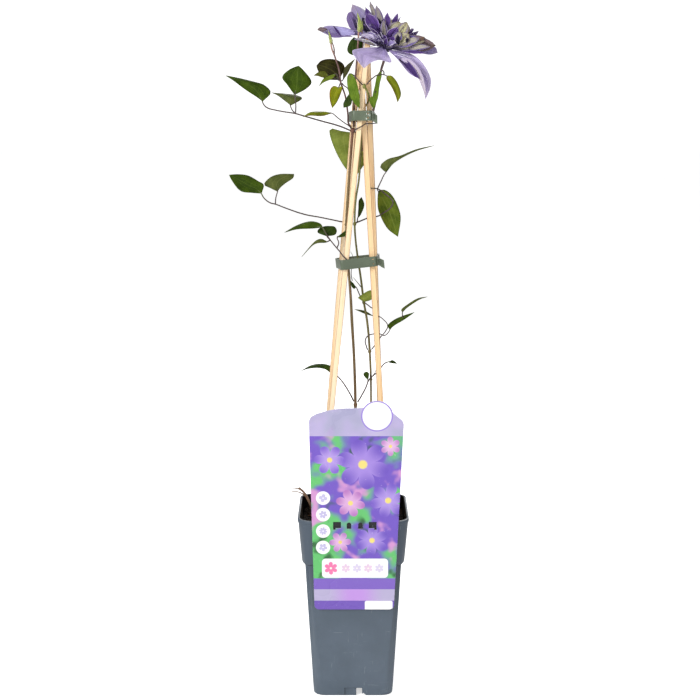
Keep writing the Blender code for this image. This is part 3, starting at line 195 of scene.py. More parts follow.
# Leafy sprays. A spray's name stands above its branches: radius | route. A branch that ends in a leaf goes on:
# | front and back finish | base, tip | left edge | right edge | depths, lifts
SPRAYS = """
spray_top_left
0.85 | -3.1 0 614, -14 -2 618.5, -35.5 -5 624.5, -53 -8 629.5, -61 -9 631.8, -72 -11 633.5, -82.5 -12 635.5,
 -91 -13 638, -94.5 -13 641.5
 | green underside | -95 644.5, -133 671 | -86.5 653.5, -93.5 661.5, -102.5 664.5, -119 668.5 | -100.5 648.5,
 -112 656, -124.5 665.5 | -13 -24, 5 -3
0.7 | -61 -9 631.8, -64.5 -9.5 635.5
 | underside green | -66 640, -87.5 654 | -54 647.5, -61 651.5, -73.5 653 | -74 646, -81 651 | -9 4, 9 9
0.7 | -61 -9 631.8, -60.5 -12 640.5
 | green underside | -61.5 651, -57.5 681.5 | -69 661.5, -74.5 669.5, -67.5 677 | -49 658, -44 665.5, -52 676.5
 | -13 -9, -4 5
leaf_narrow_left
0.7 | -2.3 -0.3 616.4, -4.2 -2.3 618.6, -10 -4 622.5, -16 -6 627
 | olive underside | -22.5 632.5, -53 628.5 | -31 634, -45 633.5 | -33 629.5, -45.5 630 | -7 -14, 5 -5
leaf_behind_canes
0.85 | 1.2 4.4 614.8, 5.4 9 616.5, 5.6 15 616.5, 4.6 20 614.5
 | dull_green green | 1.5 611.5, 1 563 | -13 613.5, -25.5 615.5, -22 598.5, -11 577 | 9.5 611.5, 18 602.5, 16 585.5,
 8.5 572.5 | 20.6 20.8, 3 2
tendril_upper_right
0.7 | 2.1 0.2 612, 1.3 -8 613, 1.4 -14.5 614.5, 5 -17.8 616.5, 9.8 -17 619, 12.5 -13.5 621, 17 -9.5 621.3,
 21.5 -3 621.5, 23.6 4 621.5, 23.6 12 621.5, 21 15.8 621.5
spray_mid_left
0.85 | -5.4 2.4 515.4, -3.5 8 515, -3.6 16 515, -5 22.3 515.5, -11 22.8 515.5, -20 18 517.5, -36 8 521.5, -52 0 525,
 -73 -7 532.5, -83 -9 536.5, -88.5 -10 538, -95 -10 543
 | green underside | -97.5 548, -131 568 | -95 557, -101 561, -111.5 567, -122.5 568.5 | -108 549, -119 551,
 -127 560.5 | -10 -20, 4 -4
0.7 | -83 -9 536.5, -82.5 -9 543
 | underside green | -81 550, -63.5 568 | -89 553.5, -95.5 557, -89 564.5, -78.5 568 | -78 554, -72 559, -64.5 564
 | -8 6, 3 -3
spray_low_left
0.85 | -3.4 -4.6 468, -1.8 -12 470, -1.6 -19 472.5, -2.8 -22.6 474.5, -5 -23.4 476.8, -8.5 -23.3 480,
 -11.8 -22.6 483.5, -14.5 -18.5 487, -17.5 -14 490, -24.5 -12.5 498.5, -29.5 -12.5 506
 | green underside | -32.5 512.5, -73 507.5 | -35.5 516.5, -46 518.5, -60 514.5 | -42 511.5, -59.5 511 | -13 -22, 6 -3
0.7 | -24.5 -12.5 498.5
 | dark_green underside | -28.5 502.5, -21.5 513 | -38 506, -36.5 510.5, -30 513 | -20 503.5, -17.5 507.5, -19 511.5
 | -12 -6, 2 2
0.7 | -17.5 -14 490, -15.5 -13.5 495.5
 | dark_green underside | -17.5 501.5, -2.5 509.5 | -13 505, -7 509 | -11 502, -4 504 | -12 -6, 2 -2
0.7 | -24.5 -12.5 498.5
 | underside green | -27.5 497, -55 481.5 | -34.5 500, -42 496.5 | -35.5 496.5, -43.5 493.5 | -13 -22, 2 -2
spray_base_left
0.85 | 0.6 2 320.5, -2 5 325.5, -9 14 336, -16 25 343, -20.5 31 345.5
 | dark_green underside | -23.5 347, -58 350 | -22 353, -33.5 357, -47 355.5 | -29 351.5, -39 354, -50 353 | 31 28,
 5 -4
spray_base_right
0.85 | 5 -1.4 320.5, 9.5 -3 328.5, 14 -3.5 337.5, 17 -3 345, 21 -1 349, 25 1 352, 30 2 357.5, 34 1.5 362.5
 | dark_green underside | 38 364.5, 48 363.5 | 43 366.5 | 42 364 | 1 -3, 2 -2
0.7 | 14 -3.5 337.5, 15.5 -3.5 342
 | dark_green underside | 16 345, 14 354.5 | 12.5 348.5, 11 352 | 17 349, 17 353 | -3.3 -2.5, 0 0
spray_lower_loop
0.7 | 15.7 0.6 377.8, 14 -1 383, 13 -3 388, 14.5 -4 392.5, 18 -4 395, 23 -3.5 396, 29 0 395.5, 34 2 393.5, 38 2 396.5
 | green underside | 39.5 400, 66 420 | 37.5 405, 44.5 411, 54 415.5 | 44 405, 54 411.5 | 1 -5, 3 -3
0.7 | 54.3 -3.4 413.4, 53.2 -1 417
 | underside green | 53 419.5, 80 437 | 52 422.5, 59.5 428.5, 70 435 | 56.5 423.5, 64 429.5, 72 434.5 | -1 -6, 2 -3
spray_lower_right
0.7 | 20 3.2 377.8, 23 5 381.5, 26.5 7 386, 30 7.5 391, 35.5 6 398, 37.5 5 404, 32.5 8 410.5, 28 9 413.5
 | underside green | 22 414, 1.5 421.5 | 13 419.5 | 12 417 | 9 9, 1 -1
spray_upper_loop
0.7 | 13.3 -0.2 429, 16.5 -3 427, 21 -5.5 424.5, 25 -7 428, 25.5 -7.5 434
 | dull_green underside | 23 439.5, 5 435.5 | 19 444, 12 441 | 19.5 433.5, 11.5 431.5 | -7 -6, -2 2
spray_upper_small
0.7 | 9.6 0.6 432.2, 8 -1 436, 6 -2 440.5
 | dark_green underside | 3 447, -3 454.5 | 0.5 451 | 1 445, -2 448.5 | -3 -6.5, 0 0
spray_right
0.85 | 2.8 0.6 516, 7.5 6 517.5, 12.5 14 519, 17.5 21 520.5, 23.5 22 521, 27.8 17 522.5, 30 9 524.5, 33.5 5 527,
 38 2.5 530, 42 2.5 535, 42.5 4 538.5, 40 5.5 542, 35 7 546, 30 8 550, 26 8.3 552, 22.5 8.3 552.5, 17 8.5 552.3,
 15.2 13 552, 16.5 18.4 551.5
0.7 | 26 8.3 552, 30 7 560.5, 33 5 567
 | underside green | 34.5 570, 85.5 598.5 | 29.5 574, 29 577.5, 37 584, 50 587.5, 67 594.5 | 36.5 574, 47.5 583,
 64.5 592 | 4 -8, 3 -3
0.7 | 26 8.3 552, 26.2 10 551
 | fresh underside | 26.8 549.5, 48.5 500 | 33 551, 41 546, 47.5 535, 51.5 520.5 | 26.2 539.5, 27.6 527, 36.5 509.5
 | 13 11, 3 4
0.7 | 4.2 2.2 516.4
 | dark_green underside | 4.6 520, 9 543.5 | 5.4 529.5, 5.9 539.5 | 8.5 525, 12 535 | 3.8 5, 0 1
spray_bud_cluster
0.85 | -14.8 -4.6 666.4, -15.2 -3 667
 | bronze dark_green | -15 667, -39 681.5 | -9 679.5, -14 686.5, -24.5 689, -34 687 | -20.5 667, -29.5 668, -36 674
 | -1 -3, 5 -2
0.7 | -14.8 -4.6 666.4, -12 -3.4 666
 | dusky dark_green | -11 667, 1.4 688.5 | -10.5 677, -6.5 682.5 | -6 674, -2.5 681 | -3 -5, 2 -2
0.7 | -14.8 -4.6 666.4, -20 -5.5 669
 | moss dark_green | -25.5 671.5, -41.5 671.5 | -30.5 676, -36.5 675 | -31.5 669.5, -37 671 | -6 -10, 1 -2
leaf_thin_left
0.7 | -15.4 -8 667, -16.4 -9 670.5
 | fresh underside | -18 673.5, -36 660.5 | -24.5 671.5, -31.5 668 | -22.5 668, -31 664.5 | -9.5 -13, 2 -1
leaf_yellow
0.7 | -13.8 -7.8 663.2
 | yellow_green olive | -15.5 659, -22 637.5 | -20.5 660.5, -24.5 656, -24.5 646 | -11.5 660, -13 653, -17 644
 | -9 -11, -2 2
leaf_dark_right
0.7 | -11.8 -7.4 663.4, -10 -8.5 661, -6.5 -9.5 658.5
 | dark_green underside | -4 653, -10.5 638 | -7.2 648.5, -10.4 643 | -1.5 647, -2.5 641, -6 639 | -10.5 -10.5, 1 -1
spray_top_centre
0.7 | 9.6 -17.8 661.5, 6.5 -18 664.5, 3 -17.4 668.5, -1 -16.6 672.2
 | bright underside | -4 673.5, 6.5 636.5 | -6.5 669.5, -6 659, -2 646.5 | -0.5 671.5, 3.5 663.5, 6.5 649 | -18 -18,
 1 -1
spray_top_right
0.7 | 14 -17.6 661.8, 17 -18 665.5, 20.5 -18.5 668.5, 24 -19 671, 30 -19 672
 | olive underside | 35 671, 46.5 643.5 | 40.5 670.5, 46.5 663, 50 652 | 35 667, 40 659.5, 44 651 | -18 -22, 2 -3
0.7 | 32 -18.8 671.8, 31.2 -19.4 675.6
 | bright underside | 28.5 676.5, 21 636 | 24.5 670.5, 22.5 660.5, 20 649 | 29.5 671.5, 27 661, 25.5 648 | -19 -15,
 1 -2
0.7 | 23.4 -17.2 655
 | bright underside | 21.5 650, 20.5 637.5 | 17.5 648.5, 17 644 | 22.3 645 | -14.6 -11.5, 1 0
leaf_behind_bloom
0.7 | 4.4 -6.4 689.6
 | dark_green underside | 4 691.5, 0.5 711 | -3.5 693.5, -6.5 698, -4 706 | 9 694.5, 9.8 706 | -6 -6, 0.5 -0.5
"""

# Narrow petals crowded round the heart: angle round it, angle above level, length, width
SMALL_PETALS = (
    (12, 72, 28, 7), (40, 74, 27, 7), (70, 66, 26, 7), (100, 76, 28, 7), (130, 68, 26, 7), (160, 72, 27, 7),
    (185, 80, 26, 6), (25, 44, 27, 7), (58, 40, 25, 7), (90, 50, 26, 7), (120, 42, 25, 7), (150, 46, 27, 7),
    (205, 58, 22, 6), (340, 52, 24, 6),
)
# Narrow petals of the near side, then the dark ones seen between them, which are painted shade, and the pale edges
# over them
NEAR_PETALS = """
cream | 40.5 702.5, 56.5 725 | 42 715, 49 724.5 | 51 707, 57.5 717.5 | -5 -14, 3 -2
stripe | 40.5 700.5, 69 709.5 | 49 708.5, 59 712 | 55.5 700.5, 65 704.5 | -7 -17, 3 -3
cream | 41 699.5, 75 707 | 51.5 702.5, 64.5 707 | 53 697.5, 66 701.5 | -5 -13, 3 -3
stripe | 41.5 699, 81 701 | 55.5 701.5, 69.5 703.5 | 55.5 696, 71 697.5 | -8 -16, 3 -3
violet | 42 698.5, 76.5 694 | 55.5 698.5, 67 697 | 54 695, 67 693.5 | -9 -18, 3 -3
violet | 56 712, 69 717.5 | 61 716 | 63 713.5 | 4 8, 1 -1
violet | 55.5 714, 63 721 | 58.5 718.5 | 60.5 716.5 | 6 10, 1 -1
stripe | 58.5 714.5, 73.5 711 | 64.5 713.5 | 66.5 710 | 2 4, 1 -1
edge | 30 703, 7 712.5 | 22.5 712.5, 15 715 | 21.5 707, 13 710.5 | -8 -20, 3 -2
deep | 31 702.5, 9.5 724.5 | 21.5 716, 13.5 722.5 | 25.5 712.5, 16 719.5 | -7 -12, 3 -3
violet | 32 701.5, 17.5 720 | 24 713.5, 19 719 | 29 710, 22.5 717 | -9 -17, 3 -3
edge | 33 701.5, 22.5 713 | 26.5 709.5, 23.5 712.5 | 30.5 707, 26.5 711.5 | -12 -22, 2 -2
deep | 28 705.5, 3.5 709 | 20 710, 11 711 | 19 705, 9.5 707 | -6 -14, 2 -2
deep | 34.5 700, 31.5 712.5 | 29.5 705, 29.5 710 | 35.5 705, 34.5 710 | -11 -21, 2 -3
violet | 36 700.5, 41.5 711 | 34.5 705.5, 37 710 | 41.5 703, 43.5 708 | -10 -19, 3 -3
stripe | 36.5 701, 48.5 716 | 39 709.5, 44 715.5 | 47 705, 51 711.5 | -8 -15, 3 -3
cream | 33.5 706, 31 729.5 | 29.5 714, 29 723 | 35 714, 33.5 723 | 4 6, 2 -2
violet | 35 707.5, 36 737 | 31 719, 32.5 731 | 41 719, 39 731 | 6 10, 2 -2
deep | 36 708.5, 47 736.5 | 40 719, 42 729.5 | 45 720.5, 47.5 729.5 | 7 12, 2 -2
deep | 28 708.5, 13 742 | 17.5 721.5, 12.5 733 | 25.5 720, 19 733 | 2 6, 2 -3
violet | 30 709.5, 15.5 736.5 | 21.5 721, 15.5 730 | 28 720, 21.5 730 | -2 0, 2 -3
dark | 29 705, 9.5 732 | 14.5 713.5, 8 723 | 25 716.5, 17.5 727.5 | -1 3, 0 0
dark | 30.5 704, 26.5 730.5 | 25.5 714.5, 23.5 724 | 30 716.5, 29.5 725.5 | -3 2, 0 0
dark | 35 700, 28.5 716.5 | 29 706, 26.5 712.5 | 34 706, 32 712.5 | -13 -16, 0 0
dark | 38 699, 68 694 | 47 699, 58.5 696.5 | 47 697.5, 58.5 695 | -8 -10, 0 0
dark | 33.5 700, 12.5 711.5 | 26 707, 18.5 711 | 25 703.5, 17.5 708 | -9 -12, 0 0
edge | 32 703, 28 715.5 | 30 709, 28.5 712.5 | 31 709.5, 29.5 713 | -15 -19, 0 0
edge | 26 707.5, 10.5 728.5 | 19.5 718.5, 14.5 725 | 20.5 719, 15.5 725.5 | -9 -12, 0 0
edge | 30 704, 23 710.5 | 26.5 707.5 | 27.5 708.5 | -15 -20, 0 0
edge | 36 701, 43 706 | 35.5 704.5, 38 707.5 | 40 702, 43.5 704 | -14 -22, 2 -2
violet | 35.5 701.5, 33.5 709 | 33 703.5, 32 707 | 35.5 704, 35.5 707.5 | -13 -20, 2 -2
bright | 27 719.5, 17 734.5 | 20.5 724, 17 730 | 26 726, 23 732 | -9 -8, 2 -1
dark | 25 712.5, 12.5 727 | 17.5 716.5, 12 722 | 22.5 719, 17.5 726 | -11 -10, 1 -1
edge | 28.5 705.5, 14.5 715.5 | 21.5 708.5, 16 712 | 25 711.5, 20 715.5 | -14 -17, 2 -1
dark | 30 715.5, 25 732 | 25.5 720.5, 23.5 727 | 30 722.5, 28.5 728 | -6 -3, 1 -1
deep | 28 710, 18.5 723.5 | 22.5 714, 19 719 | 26.5 715.5, 22.5 721.5 | -13 -13, 1 -1
white | 26 707.5, 6.5 712 | 19 709.5, 12 711 | 19 713, 12 713.5 | -14 -21, 1 -1
white | 14.5 706.5, 1 708 | 9 707 | 9 708.5 | -14 -20, 1 -1
dark | 47.5 702, 46.5 713 | 45 705, 45 710 | 48.5 706, 48 710.5 | -15 -18, 0 0
dark | 56.5 704.5, 55.5 710.5 | 54.5 706 | 57.5 707.5 | -14 -16, 0 0
cream | 58.5 720.5, 49.5 715.5 | 56.5 716.5, 52.5 714.5 | 53.5 722, 50 719 | -9 -12, 2 -1
dry | 53.5 726.5, 58 721 | 57 726.5 | 54.5 723 | -4 -5, 1 -1
dry | 71.5 711, 85 702.5 | 77.5 709.5, 82.5 706 | 74.5 707, 79.5 703.5 | -7 -9, 1 -1
"""
# Turned-over parts and creases of the sepals: the sky flap is a painted highlight, the deep strips painted shade in
# the creases
SEPAL_FOLDS = """
sky | 2.5 715, -20.5 721.5 | -2.5 719, -11 721.5 | -2.5 712.5, -14 713 | -6 -9, 1 -1
dusk | 0 711.5, -28.5 714 | -10 714, -18 714, -24.5 716 | -8.5 711, -16 710, -23.5 711 | -7 -10, 1 -1
deep | -21 722.5, -13 711.5 | -15.5 717.5 | -18 716 | -10 -10, 0 0
dry | -27 719, -37.5 718.5 | -31 720.5, -34.5 721 | -31.5 716.5, -35.5 717.5 | -7 -10, 0 0
deep | 47 688.5, 68.5 667.5 | 55 687, 63.5 678 | 54 680, 62 671 | -14 -30, 0 0
beige | 48.5 689, 75.5 649 | 59.5 688, 70.5 675, 74 663 | 54 684, 65.5 671, 70.5 660 | -16 -33, 0 0
dusk | 5 716.5, -5.5 734.5 | 1.5 723, -2.5 732.5 | -2.5 719.5, -6.5 727.5 | 2 4, 0 0
"""
PALE_FILAMENTS = (
    ((24, -13, 703), (14, -19, 707), (4, -21, 708.5)), ((26, -12, 700.5), (18, -18, 705.5), (9, -21, 706)),
    ((46, -8, 694), (52, -14, 692.5), (60, -17, 689)), ((43, -9, 693), (50, -15, 691), (57, -17, 688)),
)

# Short tendrils too thin for the solids, each with the spray it springs from
HAIR_TENDRILS = {
    "spray_upper_loop": ((8.5, 2, 446.5), (4, -2, 452.5), (0, -4, 457.5)),
    "spray_upper_small": (
        (-1, -1, 453.5), (-2, 0, 458.5), (-2, 1, 465), (-0.5, 2, 472.5), (-0.5, 2, 480), (-3, 1, 485),
    ),
    "spray_base_right": ((22, 1, 350), (24, 0, 353.5), (25.5, 2, 357.5)),
}

# Label print, in millimetres across and up
LABEL_DOTS = ((-32.1, 228.7), (-32.1, 210.2), (-32.2, 191.6), (-32.3, 173.1))
PANEL_HEIGHT = 149.3
# The disc, the dots and two panels: x, z, width, height, corner
WHITE_PANELS = (
    (*DISC, 30.6, 30.6, 15.3), *((x, z, 15.2, 15.2, 7.6) for x, z in LABEL_DOTS),
    (1.9, PANEL_HEIGHT, 71.0, 22.0, 4.0), (27.5, 105.8, 30.0, 12.0, 2.0),
)
# x, z, radius, number of petals, turn, outer tone, inner tone
BLOSSOMS = (
    (10.0, 266.0, 29.0, 6, 0.3, (104, 74, 184), (160, 132, 214)),
    (-25.0, 271.0, 17.0, 6, 1.1, (122, 90, 196), (176, 150, 220)),
    (37.0, 226.0, 20.0, 6, 0.8, (112, 82, 190), (172, 146, 220)),
    (-3.0, 223.0, 16.0, 6, 0.2, (178, 112, 184), (216, 170, 214)),
    (20.0, 181.0, 18.0, 6, 0.6, (106, 78, 186), (166, 140, 218)),
    (-14.0, 179.0, 12.0, 6, 1.0, (180, 120, 190), (218, 176, 216)),
    (39.0, 286.0, 11.0, 6, 0.5, (184, 122, 190), (220, 180, 218)),
)
# Blossoms on the white panel: x, radius, tone
PANEL_MARKS = ((-24.0, 7.5, (236, 120, 170)), (-8.0, 5.0, (226, 200, 222)), (4.0, 5.0, (214, 204, 228)),
               (16.0, 5.0, (226, 200, 222)), (28.0, 5.0, (214, 204, 228)))

# Studio: lamps with their place, target, size and power, in metres and watts
LAMPS = {
    "key": ((-1.6, -1.9, 1.5), (0, 0, 0.4), 1.0, 50.0),
    "fill": ((0.9, -2.4, 0.9), (0, 0, 0.4), 1.6, 10.0),
    "back": ((0.6, 2.0, 1.6), (0, 0, 0.45), 1.6, 30.0),
}
WORLD_LIGHT = 0.42
WORLD_SEEN = 1.2
FLOOR_SIZE = 60.0
FLOOR_TONE = (0.96, 0.96, 0.96, 1.0)
FLOOR_GLOW = 0.62
CAMERA_PLACE = (-0.0035, -1.566, 0.623)
CAMERA_TILT = 81.1
LENS = 74.88


# Numbers and places

def table_lines(table):
    """The lines of a table. A line that starts with a space goes on from the one before."""
    return table.strip().replace("\n ", " ").splitlines()


def read_places(text):
    return [tuple(float(number) for number in place.split()) for place in text.split(",")]


def read_leaf(ends, left, right, bends):
    return Leaf(*read_places(ends), read_places(left), read_places(right), *read_places(bends))


def curve_through(points, per_span):
    """A smooth curve through the points, with per_span steps from each to the next."""
    knots = [Vector(point) for point in points]
    ends = [2 * knots[0] - knots[1], *knots, 2 * knots[-1] - knots[-2]]
    curve = []
    for before, start, end, after in zip(ends, ends[1:], ends[2:], ends[3:]):
        for step in range(per_span):
            t = step / per_span
            bend = (2 * start
                    + t * (end - before)
                    + t * t * (2 * before - 5 * start + 4 * end - after)
                    + t ** 3 * (3 * start - before - 3 * end + after))
            curve.append(bend / 2)
    return [*curve, knots[-1]]


def evenly(points, count):
    """The curve through the points, read at count + 1 places spaced evenly along it."""
    curve = curve_through(points, 6)
    reach = [0.0]
    for start, end in zip(curve, curve[1:]):
        reach.append(reach[-1] + (end - start).length)
    places = []
    span = 0
    for index in range(count + 1):
        wanted = reach[-1] * index / count
        while span < len(curve) - 2 and reach[span + 1] < wanted:
            span += 1
        share = (wanted - reach[span]) / (reach[span + 1] - reach[span])
        places.append(curve[span].lerp(curve[span + 1], share))
    return places


def leaf_edges(leaf):
    """Both edges of a leaf from its base to its tip, each at EDGE_STEPS + 1 places."""
    edges = []
    for side in (leaf.left, leaf.right):
        edges.append(evenly([(x, 0.0, z) for x, z in (leaf.base, *side, leaf.tip)], EDGE_STEPS))
    return edges


def leaf_place(leaf, edges, v, u):
    """A place on a leaf: v goes from its base to its tip, u from its left edge to its right."""
    low = min(int(v * EDGE_STEPS), EDGE_STEPS - 1)
    left, right = [edge[low].lerp(edge[low + 1], v * EDGE_STEPS - low) for edge in edges]
    straight = Vector((leaf.base[0], 0.0, leaf.base[1])).lerp(Vector((leaf.tip[0], 0.0, leaf.tip[1])), v)
    midrib = left.lerp(right, 0.5).lerp(straight, (1 - v) ** 3)
    place = midrib.lerp(left if u < 0.5 else right, abs(2 * u - 1))
    place.y = leaf.depth[0] + (leaf.depth[1] - leaf.depth[0]) * v
    place.y += leaf.lift[0 if u < 0.5 else 1] * (1 - 2 * u) ** 2 * math.sin(math.pi * v)
    return place


# Nodes of the materials

def rgb(red, green, blue):
    """A colour as it looks on screen, 0 to 255."""
    linear = [((part / 255 + 0.055) / 1.055) ** 2.4 for part in (red, green, blue)]
    return (*linear, 1.0)


def join_to(tree, value, socket):
    if isinstance(value, bpy.types.NodeSocket):
        tree.links.new(value, socket)
    else:
        socket.default_value = value


def put(tree, kind, inputs=None, **settings):
    """A new node with its settings, its inputs set or linked."""
    node = tree.nodes.new(kind)
    for name, value in settings.items():
        setattr(node, name, value)
    for name, value in (inputs or {}).items():
        join_to(tree, value, node.inputs[name])
    return node


def blend(tree, share, first, second):
    """Two colours blended."""
    node = put(tree, "ShaderNodeMix", data_type="RGBA")
    for value, index in ((share, 0), (first, 6), (second, 7)):
        join_to(tree, value, node.inputs[index])
    return node.outputs[2]


def ease(tree, value, start, end, low=0.0, high=1.0):
    """A soft step from low to high while the value goes from start to end."""
    node = put(tree, "ShaderNodeMapRange", interpolation_type="SMOOTHSTEP")
    for given, index in ((value, 0), (start, 1), (end, 2), (low, 3), (high, 4)):
        join_to(tree, given, node.inputs[index])
    return node.outputs[0]


def calc(tree, operation, *values):
    node = put(tree, "ShaderNodeMath", operation=operation)
    for index, value in enumerate(values):
        join_to(tree, value, node.inputs[index])
    return node.outputs[0]


def largest(tree, *values):
    most = values[0]
    for value in values[1:]:
        most = calc(tree, "MAXIMUM", most, value)
    return most


def scaled(tree, vector, scale, shift=(0.0, 0.0, 0.0)):
    return put(tree, "ShaderNodeMapping", {"Vector": vector, "Scale": scale, "Location": shift}).outputs[0]


def cloud(tree, vector, scale, detail, roughness=0.55):
    inputs = {"Vector": vector, "Scale": scale, "Detail": detail, "Roughness": roughness}
    return put(tree, "ShaderNodeTexNoise", inputs).outputs["Fac"]


def cells(tree, vector, scale, feature="F1"):
    return put(tree, "ShaderNodeTexVoronoi", {"Vector": vector, "Scale": scale}, feature=feature)


def split(tree, vector):
    """A vector's X, Y and Z."""
    return put(tree, "ShaderNodeSeparateXYZ", {"Vector": vector}).outputs


def spots_of(tree):
    """A surface's own coordinates."""
    return put(tree, "ShaderNodeTexCoord").outputs


def along_stalk(tree):
    """How far along its stalk a place is, from 0 to 1."""
    return put(tree, "ShaderNodeAttribute", attribute_name="reach").outputs["Fac"]


def new_group(name, vectors, numbers, outputs):
    """A node group with vectors and numbers coming in: its tree, its incoming sockets and its outgoing ones."""
    tree = bpy.data.node_groups.new(name, "ShaderNodeTree")
    sockets = [(title, "INPUT", "Vector") for title in vectors]
    sockets += [(title, "INPUT", "Float") for title in numbers]
    sockets += [(title, "OUTPUT", "Float") for title in outputs]
    for title, way, kind in sockets:
        tree.interface.new_socket(title, in_out=way, socket_type="NodeSocket" + kind)
    return tree, tree.nodes.new("NodeGroupInput").outputs, tree.nodes.new("NodeGroupOutput").inputs


def use(tree, group, inputs):
    """A node group put to use: its outputs."""
    return put(tree, "ShaderNodeGroup", inputs, node_tree=group).outputs


def new_surface(name):
    surface = bpy.data.materials.new(name)
    surface.use_nodes = True
    return surface, surface.node_tree


def finish(surface, colour, rough, bump=None, more=None):
    """Sets or links what a surface looks like. Its bump is a height, a strength and a distance."""
    tree = surface.node_tree
    inputs = {"Base Color": colour, "Roughness": rough, **(more or {})}
    if bump:
        relief = dict(zip(("Height", "Strength", "Distance"), bump))
        inputs["Normal"] = put(tree, "ShaderNodeBump", relief).outputs[0]
    for name, value in inputs.items():
        join_to(tree, value, tree.nodes["Principled BSDF"].inputs[name])
    return surface


def leaf_pattern_group():
    """Veins, rim, mottling and relief of a leaf, from its own UV map and its place."""
    tree, given, result = new_group("leaf_pattern", ("UV", "Place"), (), ("Veins", "Rim", "Mottle", "Height"))
    parts = split(tree, given["UV"])
    across = calc(tree, "ABSOLUTE", calc(tree, "MULTIPLY_ADD", parts[0], 2.0, -1.0))
    midrib = ease(tree, across, 0.0, 0.07, 1.0, 0.0)
    veins = [midrib]
    for middle, weight in ((0.36, 0.7), (0.68, 0.5)):
        off = calc(tree, "ABSOLUTE", calc(tree, "SUBTRACT", across, middle))
        veins.append(ease(tree, off, 0.0, 0.045, weight, 0.0))
    slant = calc(tree, "MULTIPLY_ADD", across, -1.7, calc(tree, "MULTIPLY", parts[1], 9.0))
    turn = calc(tree, "ABSOLUTE", calc(tree, "SUBTRACT", calc(tree, "FRACT", slant), 0.5))
    veins.append(ease(tree, turn, 0.0, 0.09, 0.4, 0.0))
    net = cells(tree, given["Place"], 620.0, "DISTANCE_TO_EDGE").outputs["Distance"]
    veins.append(ease(tree, net, 0.0, 0.16, 0.22, 0.0))
    vein = largest(tree, *veins)
    mottle = cloud(tree, given["Place"], 95.0, 4.0)
    grain = cloud(tree, given["Place"], 900.0, 2.0)
    join_to(tree, vein, result["Veins"])
    join_to(tree, ease(tree, across, 0.86, 1.0), result["Rim"])
    join_to(tree, ease(tree, mottle, 0.32, 0.68), result["Mottle"])
    sunk = calc(tree, "MULTIPLY", vein, -0.7)
    join_to(tree, calc(tree, "MULTIPLY_ADD", grain, 0.25, sunk), result["Height"])
    return tree


def petal_pattern_group():
    """Where a petal changes colour: rib, margin, foot and tip, with fine lengthwise streaks."""
    names = ("Rib", "Margin", "Rim", "Foot", "Tip", "Streaks", "Height")
    tree, given, result = new_group("petal_pattern", ("UV", "Place"), (), names)
    parts = split(tree, given["UV"])
    across = calc(tree, "ABSOLUTE", calc(tree, "MULTIPLY_ADD", parts[0], 2.0, -1.0))
    wander = calc(tree, "MULTIPLY_ADD", cloud(tree, given["Place"], 130.0, 3.0), 0.5, -0.25)
    ragged = calc(tree, "ADD", across, wander)
    streaks = cloud(tree, scaled(tree, given["UV"], (26.0, 1.6, 1.0)), 1.0, 3.0, 0.65)
    fine = cloud(tree, scaled(tree, given["UV"], (90.0, 5.0, 1.0)), 1.0, 2.0)
    ribs = calc(tree, "MAXIMUM", ease(tree, across, 0.0, 0.1, 1.0, 0.0),
                ease(tree, calc(tree, "ABSOLUTE", calc(tree, "SUBTRACT", across, 0.3)), 0.0, 0.06, 0.6, 0.0))
    join_to(tree, ribs, result["Rib"])
    join_to(tree, ease(tree, ragged, 0.5, 0.85), result["Margin"])
    join_to(tree, ease(tree, calc(tree, "MULTIPLY_ADD", wander, 0.3, across), 0.88, 0.98), result["Rim"])
    join_to(tree, ease(tree, calc(tree, "ADD", parts[1], wander), 0.05, 0.38, 1.0, 0.0), result["Foot"])
    join_to(tree, ease(tree, calc(tree, "ADD", parts[1], wander), 0.78, 1.0), result["Tip"])
    join_to(tree, ease(tree, streaks, 0.38, 0.64), result["Streaks"])
    relief = calc(tree, "MULTIPLY_ADD", fine, 0.4, calc(tree, "MULTIPLY", streaks, 1.2))
    join_to(tree, relief, result["Height"])
    return tree


def panel_group():
    """A rectangle with round corners, as a mask over X and Z in metres."""
    sizes = ("X", "Z", "Half Width", "Half Height", "Corner", "Soft")
    tree, given, result = new_group("round_panel", ("Place",), sizes, ("Mask",))
    parts = split(tree, given["Place"])
    overs = []
    for part, middle, half in ((parts[0], "X", "Half Width"), (parts[2], "Z", "Half Height")):
        off = calc(tree, "ABSOLUTE", calc(tree, "SUBTRACT", part, given[middle]))
        core = calc(tree, "SUBTRACT", given[half], given["Corner"])
        overs.append(calc(tree, "MAXIMUM", calc(tree, "SUBTRACT", off, core), 0.0))
    squares = [calc(tree, "MULTIPLY", over, over) for over in overs]
    reach = calc(tree, "SQRT", calc(tree, "ADD", *squares))
    beyond = calc(tree, "SUBTRACT", reach, given["Corner"])
    edge = calc(tree, "DIVIDE", beyond, given["Soft"])
    join_to(tree, ease(tree, edge, -1.0, 1.0, 1.0, 0.0), result["Mask"])
    return tree


